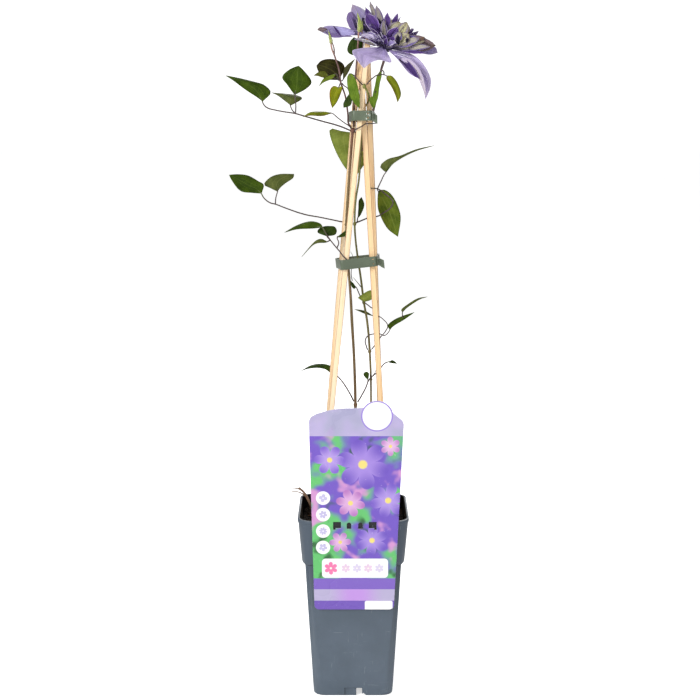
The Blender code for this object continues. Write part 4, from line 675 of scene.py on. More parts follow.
def blossom_group():
    """A simple round-petalled blossom drawn on the label, as masks over X and Z in metres."""
    sizes = ("X", "Z", "Radius", "Petals", "Turn")
    tree, given, result = new_group("drawn_blossom", ("Place",), sizes, ("Petals", "Eye", "Shade"))
    parts = split(tree, given["Place"])
    x = calc(tree, "DIVIDE", calc(tree, "SUBTRACT", parts[0], given["X"]), given["Radius"])
    z = calc(tree, "DIVIDE", calc(tree, "SUBTRACT", parts[2], given["Z"]), given["Radius"])
    reach = calc(tree, "SQRT", calc(tree, "ADD", calc(tree, "MULTIPLY", x, x), calc(tree, "MULTIPLY", z, z)))
    angle = calc(tree, "ADD", calc(tree, "ARCTAN2", z, x), given["Turn"])
    lobes = calc(tree, "COSINE", calc(tree, "MULTIPLY", angle, calc(tree, "MULTIPLY", given["Petals"], 0.5)))
    lobe = calc(tree, "POWER", calc(tree, "ABSOLUTE", lobes), 0.55)
    outline = calc(tree, "MULTIPLY_ADD", lobe, 0.55, 0.42)
    over = calc(tree, "SUBTRACT", reach, outline)
    join_to(tree, ease(tree, over, -0.04, 0.04, 1.0, 0.0), result["Petals"])
    join_to(tree, ease(tree, reach, 0.13, 0.2, 1.0, 0.0), result["Eye"])
    join_to(tree, calc(tree, "MULTIPLY", ease(tree, reach, 0.15, 0.95), lobe), result["Shade"])
    return tree


def scuff_group():
    """Fine scratches and worn patches on moulded plastic."""
    tree, given, result = new_group("scuffs", ("Place",), (), ("Scratches", "Worn", "Height"))
    lines = []
    for scale in ((60.0, 60.0, 900.0), (850.0, 600.0, 45.0)):
        streak = cloud(tree, scaled(tree, given["Place"], scale), 1.0, 2.0)
        lines.append(ease(tree, streak, 0.68, 0.74))
    worn = cloud(tree, given["Place"], 28.0, 5.0, 0.6)
    fine = cloud(tree, given["Place"], 1500.0, 2.0)
    scratch = calc(tree, "MULTIPLY", largest(tree, *lines), ease(tree, worn, 0.45, 0.62))
    join_to(tree, scratch, result["Scratches"])
    join_to(tree, ease(tree, worn, 0.35, 0.65), result["Worn"])
    join_to(tree, calc(tree, "MULTIPLY_ADD", scratch, -0.5, calc(tree, "MULTIPLY", fine, 0.5)), result["Height"])
    return tree


LEAF_PATTERN = leaf_pattern_group()
PETAL_PATTERN = petal_pattern_group()
PANEL = panel_group()
DRAWN_BLOSSOM = blossom_group()
SCUFFS = scuff_group()


# Materials

def panel_mask(tree, place, x, z, width, tall, corner, soft=0.15):
    """A rectangle with round corners, in millimetres, as a mask over the front."""
    sizes = {"X": x, "Z": z, "Half Width": width / 2, "Half Height": tall / 2, "Corner": corner, "Soft": soft}
    return use(tree, PANEL, {"Place": place, **{key: size * MM for key, size in sizes.items()}})["Mask"]


def drawn_blossom(tree, place, x, z, radius, petals, turn):
    """A drawn blossom, in millimetres: its masks."""
    sizes = {"X": x * MM, "Z": z * MM, "Radius": radius * MM, "Petals": float(petals), "Turn": turn}
    return use(tree, DRAWN_BLOSSOM, {"Place": place, **sizes})


def leaf_surface(name, deep, fresh, vein, rim, roughness=0.42, vein_share=0.5, rim_share=0.5):
    surface, tree = new_surface(name)
    spots = spots_of(tree)
    pattern = use(tree, LEAF_PATTERN, {"UV": spots["UV"], "Place": spots["Object"]})
    colour = blend(tree, pattern["Mottle"], rgb(*deep), rgb(*fresh))
    colour = blend(tree, calc(tree, "MULTIPLY", pattern["Veins"], vein_share), colour, rgb(*vein))
    colour = blend(tree, calc(tree, "MULTIPLY", pattern["Rim"], rim_share), colour, rgb(*rim))
    blemish = cells(tree, spots["Object"], 160.0).outputs["Distance"]
    colour = blend(tree, ease(tree, blemish, 0.0, 0.13, 0.55, 0.0), colour, rgb(96, 84, 46))
    rough = ease(tree, pattern["Mottle"], 0.0, 1.0, roughness - 0.05, roughness + 0.09)
    return finish(surface, colour, rough, (pattern["Height"], 0.6, 0.0003), {"Specular IOR Level": 0.08})


def petal_surface(name, face, margin, rib, foot, tip, shares, streak, rim=(176, 164, 200)):
    surface, tree = new_surface(name)
    spots = spots_of(tree)
    pattern = use(tree, PETAL_PATTERN, {"UV": spots["UV"], "Place": spots["Object"]})
    soft = cloud(tree, spots["Object"], 70.0, 3.0)
    colour = blend(tree, ease(tree, soft, 0.3, 0.7, 0.0, 0.35), rgb(*face), rgb(*margin))
    streaks = calc(tree, "MULTIPLY", pattern["Streaks"], 0.5)
    colour = blend(tree, streaks, colour, rgb(*streak))
    for part, tone, share in zip(("Margin", "Rib", "Foot", "Tip"), (margin, rib, foot, tip), shares):
        colour = blend(tree, calc(tree, "MULTIPLY", pattern[part], share), colour, rgb(*tone))
    colour = blend(tree, calc(tree, "MULTIPLY", pattern["Rim"], 0.75), colour, rgb(*rim))
    rough = ease(tree, pattern["Streaks"], 0.0, 1.0, 0.48, 0.62)
    gloss = {"Sheen Weight": 0.1, "Specular IOR Level": 0.25}
    return finish(surface, colour, rough, (pattern["Height"], 0.7, 0.0004), gloss)


def stalk_surface(name, foot, middle, end, dark):
    """Bark or skin of a stalk: its colour goes with how far along the stalk a place is."""
    surface, tree = new_surface(name)
    spots = spots_of(tree)
    reach = along_stalk(tree)
    streaks = cloud(tree, scaled(tree, spots["Object"], (900.0, 900.0, 160.0)), 1.0, 4.0, 0.6)
    patches = cloud(tree, spots["Object"], 60.0, 3.0)
    colour = blend(tree, ease(tree, reach, 0.0, 0.5), rgb(*foot), rgb(*middle))
    colour = blend(tree, ease(tree, reach, 0.78, 1.0), colour, rgb(*end))
    colour = blend(tree, ease(tree, streaks, 0.46, 0.66, 0.0, 0.75), colour, rgb(*dark))
    colour = blend(tree, ease(tree, patches, 0.5, 0.72, 0.0, 0.4), colour, rgb(*foot))
    return finish(surface, colour, ease(tree, streaks, 0.3, 0.7, 0.5, 0.7), (streaks, 0.6, 0.0004))


def pot_surface(name, light, dark, upper, dirt_share, gloss):
    """Moulded plastic with scuffs and dust, paler towards the foot as painted shade darkens it towards the top, with
    painted shade round the foot's panel and behind the label's windows.
    """
    surface, tree = new_surface(name)
    place = spots_of(tree)["Object"]
    scuffs = use(tree, SCUFFS, {"Place": place})
    colour = blend(tree, scuffs["Worn"], rgb(*dark), rgb(*light))
    _, front, height = split(tree, place)
    # Painted shade: the plastic darkens towards the top, under the label
    colour = blend(tree, ease(tree, height, 0.03, 0.19, 0.0, 0.9), colour, rgb(*upper))
    # Painted shadow: a mask for the front wall behind the label's windows
    window_shadow_mask = panel_mask(tree, place, 1.7, 198.0, 60.0, 13.6, 1.0, 0.6)
    # Painted shade: a dark line round the recessed panel on the foot
    outer = panel_mask(tree, place, -3.0, 3.5, 13.2, 11.6, 0.5, 0.4)
    inner = panel_mask(tree, place, -3.0, 3.5, 11.6, 10.0, 0.5, 0.4)
    outline = calc(tree, "MULTIPLY", calc(tree, "SUBTRACT", outer, inner), calc(tree, "LESS_THAN", front, -0.035))
    colour = blend(tree, calc(tree, "MULTIPLY", outline, 0.55), colour, rgb(40, 46, 54))
    # Painted shadow: near-black on the front wall behind the label's windows
    window_shadow = calc(tree, "MULTIPLY", window_shadow_mask, calc(tree, "LESS_THAN", front, -0.055))
    colour = blend(tree, calc(tree, "MULTIPLY", window_shadow, 0.93), colour, rgb(14, 12, 12))
    colour = blend(tree, calc(tree, "MULTIPLY", scuffs["Scratches"], 0.5), colour, rgb(150, 160, 166))
    bits = cells(tree, place, 420.0).outputs["Distance"]
    dust = cloud(tree, place, 45.0, 6.0, 0.7)
    bits = calc(tree, "MULTIPLY", ease(tree, bits, 0.12, 0.3, 1.0, 0.0), ease(tree, dust, 0.5, 0.62))
    colour = blend(tree, calc(tree, "MULTIPLY", bits, dirt_share), colour, rgb(112, 92, 70))
    rough = ease(tree, scuffs["Worn"], 0.0, 1.0, 0.4, 0.52)
    return finish(surface, colour, rough, (scuffs["Height"], 0.4, 0.0002), {"Specular IOR Level": gloss})


def clip_surface():
    """Grey-green plastic, whitened where the upper strap was pulled through its lock."""
    surface, tree = new_surface("clip_plastic_worn")
    place = spots_of(tree)["Object"]
    scuffs = use(tree, SCUFFS, {"Place": place})
    colour = blend(tree, scuffs["Worn"], rgb(84, 95, 76), rgb(96, 108, 88))
    stressed = panel_mask(tree, place, 15.2, 628.5, 4.4, 10.4, 1.5, 1.2)
    cracks = ease(tree, cloud(tree, scaled(tree, place, (900.0, 900.0, 380.0)), 1.0, 4.0, 0.7), 0.52, 0.6)
    white = largest(tree, calc(tree, "MULTIPLY", stressed, cracks), calc(tree, "MULTIPLY", scuffs["Scratches"], 0.5))
    colour = blend(tree, white, colour, rgb(226, 232, 224))
    rough = ease(tree, scuffs["Worn"], 0.0, 1.0, 0.36, 0.5)
    return finish(surface, colour, rough, (scuffs["Height"], 0.4, 0.0002))


def cane_surface(name, pale, warm):
    """Planed pale wood: fibres and darker year lines run along each cane's own length, with painted shade on its
    arrises and top end and painted light on its upper part.
    """
    surface, tree = new_surface(name)
    grain = put(tree, "ShaderNodeAttribute", attribute_name="grain").outputs["Vector"]
    broad = cloud(tree, scaled(tree, grain, (330.0, 330.0, 4.0)), 1.0, 3.0, 0.6)
    fibres = cloud(tree, scaled(tree, grain, (2600.0, 2600.0, 45.0)), 1.0, 3.0, 0.6)
    lines = cloud(tree, scaled(tree, grain, (900.0, 900.0, 6.0)), 1.0, 2.0)
    colour = blend(tree, ease(tree, broad, 0.32, 0.68), rgb(*warm), rgb(*pale))
    colour = blend(tree, ease(tree, lines, 0.55, 0.68, 0.0, 0.6), colour, rgb(224, 176, 118))
    colour = blend(tree, ease(tree, fibres, 0.55, 0.75, 0.0, 0.4), colour, rgb(205, 166, 118))
    knots = cells(tree, scaled(tree, grain, (300.0, 300.0, 60.0)), 1.0).outputs["Distance"]
    colour = blend(tree, ease(tree, knots, 0.0, 0.09, 0.7, 0.0), colour, rgb(168, 120, 78))
    across, deep, up = split(tree, grain)
    # Each cane's grain is set one metre from the last: this is a place's height above its cane's middle
    height = calc(tree, "SUBTRACT", calc(tree, "FRACT", calc(tree, "ADD", up, 0.5)), 0.5)
    # Painted light: the upper part of each cane made paler, against the shade there
    colour = blend(tree, ease(tree, height, 0.15, 0.22, 0.0, 0.75), colour, rgb(255, 226, 180))
    inmost = calc(tree, "MINIMUM", calc(tree, "ABSOLUTE", across), calc(tree, "ABSOLUTE", deep))
    # Painted shade: the arrises darkened, standing for the shaded gaps between the canes
    painted_edge_shade = calc(tree, "MULTIPLY", ease(tree, inmost, 0.0020, 0.0029), ease(tree, broad, 0.4, 0.6, 0.55, 0.95))
    colour = blend(tree, painted_edge_shade, colour, rgb(150, 100, 60))
    # Painted shade: the last 20 mm at each cane's top darker, where the bloom shades it
    colour = blend(tree, calc(tree, "MULTIPLY", ease(tree, height, 0.28, 0.3), 0.6), colour, rgb(172, 126, 84))
    relief = calc(tree, "MULTIPLY_ADD", fibres, -0.6, broad)
    return finish(surface, colour, ease(tree, fibres, 0.3, 0.7, 0.5, 0.68), (relief, 0.5, 0.0003))


def soil_surface(name, dark, brown, fleck):
    surface, tree = new_surface(name)
    place = spots_of(tree)["Object"]
    lumps = cloud(tree, place, 160.0, 6.0, 0.7)
    colour = blend(tree, ease(tree, lumps, 0.35, 0.62), rgb(*dark), rgb(*brown))
    flecks = ease(tree, cloud(tree, place, 700.0, 2.0), 0.66, 0.74)
    colour = blend(tree, flecks, colour, rgb(*fleck))
    relief = calc(tree, "ADD", lumps, cells(tree, place, 380.0).outputs["Distance"])
    rough = ease(tree, lumps, 0.3, 0.7, 0.8, 0.98)
    return finish(surface, colour, rough, (relief, 1.0, 0.0016), {"Specular IOR Level": 0.1})


def bud_surface():
    """Yellow-green bud, ribbed along its length, with brownish down at its foot."""
    surface, tree = new_surface("bud_skin")
    spots = spots_of(tree)
    around, along, _ = split(tree, spots["UV"])
    ribs = calc(tree, "ABSOLUTE", calc(tree, "SINE", calc(tree, "MULTIPLY", around, 25.0)))
    hairs = cloud(tree, scaled(tree, spots["Object"], (2400.0, 2400.0, 500.0)), 1.0, 3.0)
    colour = blend(tree, ease(tree, hairs, 0.35, 0.65), rgb(132, 150, 58), rgb(182, 194, 98))
    colour = blend(tree, ease(tree, ribs, 0.0, 0.3, 0.5, 0.0), colour, rgb(104, 112, 50))
    colour = blend(tree, ease(tree, along, 0.02, 0.4, 0.85, 0.0), colour, rgb(150, 138, 96))
    colour = blend(tree, ease(tree, along, 0.86, 1.0, 0.0, 0.7), colour, rgb(196, 196, 120))
    relief = calc(tree, "ADD", hairs, ribs)
    rough = ease(tree, hairs, 0.3, 0.7, 0.5, 0.72)
    return finish(surface, colour, rough, (relief, 0.6, 0.0004), {"Sheen Weight": 0.35})


def label_surface():
    """The printed face: bands, bare panels and dots, and a generic bed of round-petalled blossoms."""
    surface, tree = new_surface("label_print")
    place = spots_of(tree)["Object"]
    across, _, height = split(tree, place)
    haze = cloud(tree, place, 26.0, 2.0)
    drift = cloud(tree, scaled(tree, place, (1.0, 1.0, 1.0), (0.31, 0.0, 0.17)), 38.0, 2.0)
    colour = blend(tree, ease(tree, haze, 0.43, 0.56), rgb(96, 190, 106), rgb(110, 80, 188))
    colour = blend(tree, ease(tree, drift, 0.56, 0.68), colour, rgb(206, 146, 200))
    colour = blend(tree, ease(tree, drift, 0.3, 0.4, 0.9, 0.0), colour, rgb(30, 84, 40))
    for x, z, size, petals, turn, rim, inner in BLOSSOMS:
        drawn = drawn_blossom(tree, place, x, z, size, petals, turn)
        tone = blend(tree, drawn["Shade"], rgb(*inner), rgb(*rim))
        colour = blend(tree, drawn["Petals"], colour, tone)
        colour = blend(tree, drawn["Eye"], colour, rgb(236, 214, 120))
    colour = blend(tree, ease(tree, height, 0.1375, 0.1380, 1.0, 0.0), colour, rgb(124, 94, 190))
    lilac = blend(tree, ease(tree, haze, 0.3, 0.7), rgb(164, 154, 196), rgb(192, 182, 216))
    off_middle = calc(tree, "ABSOLUTE", calc(tree, "SUBTRACT", across, 0.003))
    glow = blend(tree, ease(tree, off_middle, 0.004, 0.032), rgb(196, 150, 224), rgb(186, 178, 208))
    colour = blend(tree, calc(tree, "MULTIPLY", ease(tree, height, 0.1249, 0.1253, 1.0, 0.0), 0.9), colour, glow)
    colour = blend(tree, ease(tree, height, 0.1118, 0.1122, 1.0, 0.0), colour, rgb(112, 82, 180))
    colour = blend(tree, ease(tree, height, 0.2970, 0.2974, 0.0, 0.92), colour, lilac)
    colour = blend(tree, panel_mask(tree, place, *DISC, 33.6, 33.6, 16.8), colour, rgb(150, 128, 208))
    white = [panel_mask(tree, place, *panel) for panel in WHITE_PANELS]
    colour = blend(tree, largest(tree, *white), colour, rgb(244, 244, 246))
    for (x, z), petals in zip(LABEL_DOTS, (4, 6, 8, 5)):
        mark = drawn_blossom(tree, place, x, z, 4.6, petals, 0.2)
        colour = blend(tree, calc(tree, "MULTIPLY", mark["Petals"], 0.8), colour, rgb(176, 166, 214))
        colour = blend(tree, mark["Eye"], colour, rgb(244, 244, 246))
    for x, size, tone in PANEL_MARKS:
        mark = drawn_blossom(tree, place, x, PANEL_HEIGHT, size, 6, 0.5)
        colour = blend(tree, mark["Petals"], colour, rgb(*tone))
        colour = blend(tree, mark["Eye"], colour, rgb(250, 244, 230))
    wear = cloud(tree, place, 420.0, 3.0)
    colour = blend(tree, ease(tree, wear, 0.66, 0.78, 0.0, 0.2), colour, rgb(250, 250, 250))
    rough = ease(tree, haze, 0.3, 0.7, 0.26, 0.36)
    coat = {"Coat Weight": 0.25, "Coat Roughness": 0.2}
    return finish(surface, colour, rough, (cloud(tree, place, 60.0, 3.0), 0.25, 0.0006), coat)


def plain_film_surface():
    """The label's unprinted back and cut edges."""
    surface, tree = new_surface("label_back")
    place = spots_of(tree)["Object"]
    haze = cloud(tree, place, 45.0, 4.0)
    colour = blend(tree, ease(tree, haze, 0.3, 0.7), rgb(222, 220, 232), rgb(238, 237, 244))
    return finish(surface, colour, ease(tree, haze, 0.3, 0.7, 0.3, 0.42), (haze, 0.2, 0.0005))


def heart_surface():
    surface, tree = new_surface("bloom_heart")
    place = spots_of(tree)["Object"]
    tufts = cells(tree, scaled(tree, place, (900.0, 900.0, 500.0)), 1.0).outputs["Distance"]
    colour = blend(tree, ease(tree, tufts, 0.1, 0.7), rgb(58, 44, 92), rgb(20, 16, 40))
    return finish(surface, colour, ease(tree, tufts, 0.0, 1.0, 0.5, 0.8), (tufts, 0.9, 0.0012))


def filament_surface(name, foot, tip):
    surface, tree = new_surface(name)
    fleck = cloud(tree, spots_of(tree)["Object"], 900.0, 2.0)
    colour = blend(tree, calc(tree, "MULTIPLY_ADD", fleck, 0.3, along_stalk(tree)), rgb(*foot), rgb(*tip))
    return finish(surface, colour, ease(tree, fleck, 0.3, 0.7, 0.45, 0.6))


# Modelling

def deselect():
    bpy.ops.object.select_all(action="DESELECT")


def choose(*pieces):
    """Selects these pieces alone, the first one active."""
    deselect()
    for piece in pieces:
        piece.select_set(True)
    bpy.context.view_layer.objects.active = pieces[0]


@contextmanager
def editing(everything=True):
    """Edit mode for the steps inside, with everything selected unless the selection is to stay."""
    bpy.ops.object.mode_set(mode="EDIT")
    if everything:
        bpy.ops.mesh.select_all(action="SELECT")
    yield
    bpy.ops.object.mode_set(mode="OBJECT")


def add(primitive, **settings):
    """A new piece made by one of Blender's mesh primitives."""
    deselect()
    primitive(**settings)
    return bpy.context.object


def place_in_scene(name, data):
    """A new object for this data."""
    thing = bpy.data.objects.new(name, data)
    bpy.context.scene.collection.objects.link(thing)
    return thing


def apply_place(piece):
    """Puts a piece's place, turn and size into its mesh."""
    choose(piece)
    bpy.ops.object.transform_apply(location=True, rotation=True, scale=True)


def to_mesh(curve):
    """A curve made a mesh object."""
    choose(place_in_scene(curve.name, curve))
    bpy.ops.object.convert(target="MESH")
    return bpy.context.object


def pull_out(**move):
    """Extrudes what is selected by x, y and z."""
    step = tuple(move.get(axis, 0) for axis in "xyz")
    bpy.ops.mesh.extrude_region_move(TRANSFORM_OT_translate={"value": step})


def fuse(pieces):
    """Several pieces made one object."""
    choose(*pieces)
    bpy.ops.object.join()
    return pieces[0]


def apply(piece, kind, **settings):
    """Adds a modifier to a piece and applies it."""
    choose(piece)
    modifier = piece.modifiers.new(kind.title(), kind)
    for name, value in settings.items():
        setattr(modifier, name, value)
    bpy.ops.object.modifier_apply(modifier=modifier.name)


def face_out(piece):
    choose(piece)
    with editing():
        bpy.ops.mesh.normals_make_consistent(inside=False)


def dress(piece, *surfaces):
    piece.data.materials.clear()
    for surface in surfaces:
        piece.data.materials.append(surface)


def present(piece, name, slot, *nodes, sharp=None):
    """Names a finished piece, puts its place into its mesh in metres, shades it smooth, hangs it under the root and
    hides the CAD nodes it stands for.
    """
    apply_place(piece)
    piece.data.transform(Matrix.Scale(MM, 4))
    piece.name = piece.data.name = name
    if sharp is None:
        bpy.ops.object.shade_smooth()
    else:
        bpy.ops.object.shade_smooth_by_angle(angle=math.radians(sharp))
    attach(piece, "root")
    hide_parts(*nodes)


def mark_reach(piece, route):
    """Keeps with each point how far along the route it lies, for the colours of stalks."""
    marks = curve_through(route, 5)
    reach = piece.data.attributes.new("reach", "FLOAT", "POINT")
    for vertex in piece.data.vertices:
        place = piece.location + vertex.co
        nearest = min(range(len(marks)), key=lambda index: (marks[index] - place).length_squared)
        reach.data[vertex.index].value = nearest / (len(marks) - 1)


def tube(route, start, end, surface, sides=2, swell=0.0, seed=1):
    """A round stalk along a route: its radius goes from start to end, a little uneven where swell is set."""
    draw = random.Random(seed)
    curve = bpy.data.curves.new("stalk", "CURVE")
    curve.dimensions = "3D"
    curve.resolution_u = 4
    curve.bevel_depth = 1.0
    curve.bevel_resolution = sides
    curve.use_fill_caps = True
    line = curve.splines.new("BEZIER")
    line.bezier_points.add(len(route) - 1)
    for index, (point, place) in enumerate(zip(line.bezier_points, route)):
        point.co = place
        point.handle_left_type = point.handle_right_type = "AUTO"
        share = index / (len(route) - 1)
        point.radius = (start + (end - start) * share) * (1 + draw.uniform(-swell, swell))
    stalk = to_mesh(curve)
    dress(stalk, surface)
    mark_reach(stalk, route)
    return stalk


def blade(place_at, rows, columns, thickness, front, back):
    """A leaf or petal: a grid laid on its places, closed at both ends, thickened away from the viewer."""
    sheet = add(bpy.ops.mesh.primitive_grid_add, x_subdivisions=columns, y_subdivisions=rows, size=2)
    for vertex in sheet.data.vertices:
        vertex.co = place_at((vertex.co.y + 1) / 2, (vertex.co.x + 1) / 2)
    with editing():
        bpy.ops.mesh.remove_doubles(threshold=0.02)
    facing = sum(face.normal.y * face.area for face in sheet.data.polygons)
    if facing > 0:
        sheet.data.flip_normals()
    dress(sheet, front, back)
    apply(sheet, "SOLIDIFY", thickness=thickness, offset=-1, material_offset=1, use_quality_normals=True)
    return sheet


def leaf_blade(leaf, front, back, seed, rows=18, columns=12, wave=0.5, pleat=0.0, thickness=LEAF_THICKNESS,
               ragged=0.0):
    """A leaf or petal with a creased midrib, lengthwise pleats and waved edges, ragged where it is set."""
    edges = leaf_edges(leaf)

    def place_at(v, u):
        place = leaf_place(leaf, edges, v, u)
        across = abs(2 * u - 1)
        ripple = noise.noise(Vector((u * 2.2 + seed * 3.1, v * 4.5, seed * 7.7)))
        place.y += math.sin(math.pi * v) * (wave * ripple * (0.3 + across) + 0.35 * wave * (1 - across) ** 6)
        place.y += pleat * math.sin(math.pi * v) * math.cos(math.tau * across * 1.5 + seed)
        if ragged and 0.0 < v < 1.0:
            tear = ragged * across ** 3
            place.x += tear * noise.noise(Vector((v * 7.0, u * 2.0, seed * 1.7)))
            place.z += tear * noise.noise(Vector((v * 7.0, u * 2.0, seed * 1.7 + 50.0)))
        return place

    return blade(place_at, rows, columns, thickness, front, back)


def petiole_route(route, leaf):
    """A leaf's stalk runs on under the foot of its midrib."""
    edges = leaf_edges(leaf)
    under = Vector((0.0, 0.35, 0.0))
    return [*(Vector(place) for place in route), *(leaf_place(leaf, edges, v, 0.5) + under for v in (0.03, 0.16))]


def read_sprays(table):
    """Each spray's branches by its name: radius, route, and the finishes and leaf of those that have one."""
    sprays = {}
    for line in table_lines(table):
        if "|" in line:
            radius, route, *finishes_and_leaf = line.split("|")
            branches.append((float(radius), read_places(route), *finishes_and_leaf))
        else:
            branches = sprays[line] = []
    return sprays


def make_spray(name, branches):
    """A leaf stalk with its leaves."""
    pieces = []
    for index, (radius, route, *finishes_and_leaf) in enumerate(branches):
        if finishes_and_leaf:
            front, back = (LEAVES[finish] for finish in finishes_and_leaf[0].split())
            leaf = read_leaf(*finishes_and_leaf[1:])
            pieces.append(leaf_blade(leaf, front, back, len(name) + index))
            route = petiole_route(route, leaf)
            if (route[1] - route[0]).length < 0.2:
                route = route[1:]
        if len(route) > 1:
            pieces.append(tube(route, radius, radius * 0.72, PETIOLE_SKIN, swell=0.06, seed=index + 3))
    if name in HAIR_TENDRILS:
        pieces.append(tube(HAIR_TENDRILS[name], 0.5, 0.25, PETIOLE_SKIN, sides=1))
    present(fuse(pieces), name + "_leaves", "leaves", name)


def body_half(z):
    return BODY_FOOT_HALF + (BODY_TOP_HALF - BODY_FOOT_HALF) * z / COLLAR_FOOT


def block(size, centre, corner, segments=2):
    """A box with its edges rounded."""
    piece = add(bpy.ops.mesh.primitive_cube_add, size=1, location=centre)
    piece.scale = size
    bpy.ops.object.transform_apply(location=False, rotation=False, scale=True)
    with editing():
        bpy.ops.mesh.bevel(offset=corner, segments=segments, affect="EDGES")
    return piece


def cut(body, cutters):
    for cutter in cutters:
        apply(body, "BOOLEAN", operation="DIFFERENCE", solver="EXACT", object=cutter)
        bpy.data.objects.remove(cutter, do_unlink=True)


def pin(radius, depth, centre, turn, sides=16):
    piece = add(bpy.ops.mesh.primitive_cylinder_add, vertices=sides, radius=radius, depth=depth)
    piece.location, piece.rotation_euler = centre, turn
    apply_place(piece)
    return piece


def tighten_corner(vertex):
    """Gives the body its corners, tight under the collar and wider towards the foot."""
    side = max(abs(vertex.co.x), abs(vertex.co.y))
    if side < BODY_FOOT_HALF - 6.7 or vertex.co.z > COLLAR_FOOT + 0.1 or side > BODY_TOP_HALF + 0.6:
        return
    old = side * FLOOR_CORNER / (BODY_FOOT_HALF - FLOOR_INSET)
    new = BODY_CORNER_FOOT + (BODY_CORNER_TOP - BODY_CORNER_FOOT) * min(vertex.co.z / BODY_CORNER_HEIGHT, 1)
    for axis in (0, 1):
        reach = (abs(vertex.co[axis]) - (side - old)) / old
        vertex.co[axis] = math.copysign(side - new + reach * new, vertex.co[axis])


def make_pot():
    """Square pot: foot, tapered body, ledge, flared collar and rolled rim, hollowed in one go."""
    foot = BODY_FOOT_HALF
    half, height = foot - FLOOR_INSET, FLOOR_UNDERSIDE
    profile = (
        (foot - 5.6, 0.3), (foot - 5.3, 0.0), (foot - 1.6, 0.0), (foot - 0.8, 0.25), (foot - 0.25, 0.8),
        (foot - 0.05, 2.0), (body_half(7.5) - 0.05, 7.5), (body_half(11), 11), (body_half(60), 60),
        (body_half(BODY_CORNER_HEIGHT), BODY_CORNER_HEIGHT),
        (BODY_TOP_HALF - 0.1, COLLAR_FOOT - 0.3), (BODY_TOP_HALF + 0.5, COLLAR_FOOT),
        (COLLAR_FOOT_HALF - 2.2, COLLAR_FOOT), (COLLAR_FOOT_HALF - 1.0, COLLAR_FOOT + 0.4),
        (COLLAR_FOOT_HALF - 0.3, COLLAR_FOOT + 1.3), (COLLAR_FOOT_HALF + 0.1, COLLAR_FOOT + 2.8),
        (RIM_HALF - 2.4, POT_HEIGHT - 24), (RIM_HALF - 0.75, POT_HEIGHT - 4.2),
        (RIM_HALF - 0.1, POT_HEIGHT - 3.8), (RIM_HALF, POT_HEIGHT - 3.2), (RIM_HALF, POT_HEIGHT - 0.8),
        (RIM_HALF - 0.2, POT_HEIGHT - 0.2), (RIM_HALF - 0.7, POT_HEIGHT), (RIM_HALF - WALL - 0.3, POT_HEIGHT),
        (RIM_HALF - WALL - 0.8, POT_HEIGHT - 0.4), (COLLAR_FOOT_HALF - WALL - 0.4, COLLAR_FOOT + 1.8),
        (BODY_TOP_HALF - WALL, COLLAR_FOOT + 0.2), (body_half(FLOOR_TOP) - WALL, FLOOR_TOP),
    )
    pot = add(bpy.ops.mesh.primitive_plane_add, size=2 * half, location=(0, 0, height))
    with editing():
        bpy.ops.mesh.bevel(offset=FLOOR_CORNER, segments=7, affect="VERTICES")
        for next_half, next_height in profile:
            pull_out(z=next_height - height)
            size = next_half / half
            bpy.ops.transform.resize(value=(size, size, 1))
            half, height = next_half, next_height
    for vertex in pot.data.vertices:
        tighten_corner(vertex)
    face_out(pot)
    cutters = [pin(DRAIN_RADIUS, 8, (x, y, 10), (0, 0, 0), 32)
               for x in (-DRAIN_OFFSET, DRAIN_OFFSET) for y in (-DRAIN_OFFSET, DRAIN_OFFSET)]
    for side in (-1, 1):
        wall = side * foot
        cutters.append(block((6.4, 24.0, 18.0), (-side * 6.6, wall, 0.0), 0.9))
        cutters.append(block((12.9, 2.6, 18.6), (side * 3.05, wall + side * 0.4, 0.0), 0.2))
        wedge = block((7.0, 24.0, 7.0), (0, 0, 0), 0.3)
        wedge.rotation_euler.y = math.radians(45)
        wedge.location = (-side * 11.2, wall, -1.6)
        apply_place(wedge)
        cutters.append(wedge)
    cut(pot, cutters)
    dress(pot, POT_PLASTIC, POT_INSIDE_SHADED)
    # Inward faces take the near-black copy of the plastic: painted shade inside the pot
    for face in pot.data.polygons:
        reach = max(abs(face.center.x), abs(face.center.y))
        inward = face.normal.x * face.center.x + face.normal.y * face.center.y < -1
        if inward and 3 < face.center.z < POT_HEIGHT - 0.3 and reach > 35:
            face.material_index = 1
    present(pot, "pot_shell", "pot_plastic", "pot", sharp=38)


def soil_place(x, y):
    """A place on the soil for a place on a square from -1 to 1."""
    share = max(abs(x), abs(y), 1e-6)
    out = Vector((x / share * SOIL_HALF, y / share * SOIL_HALF))
    core = SOIL_HALF - POT_CORNER + 1
    if abs(out.x) > core and abs(out.y) > core:
        centre = Vector((math.copysign(core, out.x), math.copysign(core, out.y)))
        out = centre + (out - centre).normalized() * (SOIL_HALF - core)
    out = out * share
    return Vector((out.x, out.y, soil_height(out.x, out.y, share)))


def soil_height(x, y, share):
    rough = 2.2 * noise.noise(Vector((x, y, 7.0)) * 0.09) + 1.5 * noise.noise(Vector((x, y, 2.0)) * 0.3)
    distance = (Vector((x, y)) - Vector(HEAP)).length / HEAP_SIZE
    return SOIL_TOP + rough + HEAP_SIZE * math.exp(-distance * distance) - 1.5 * share ** 6


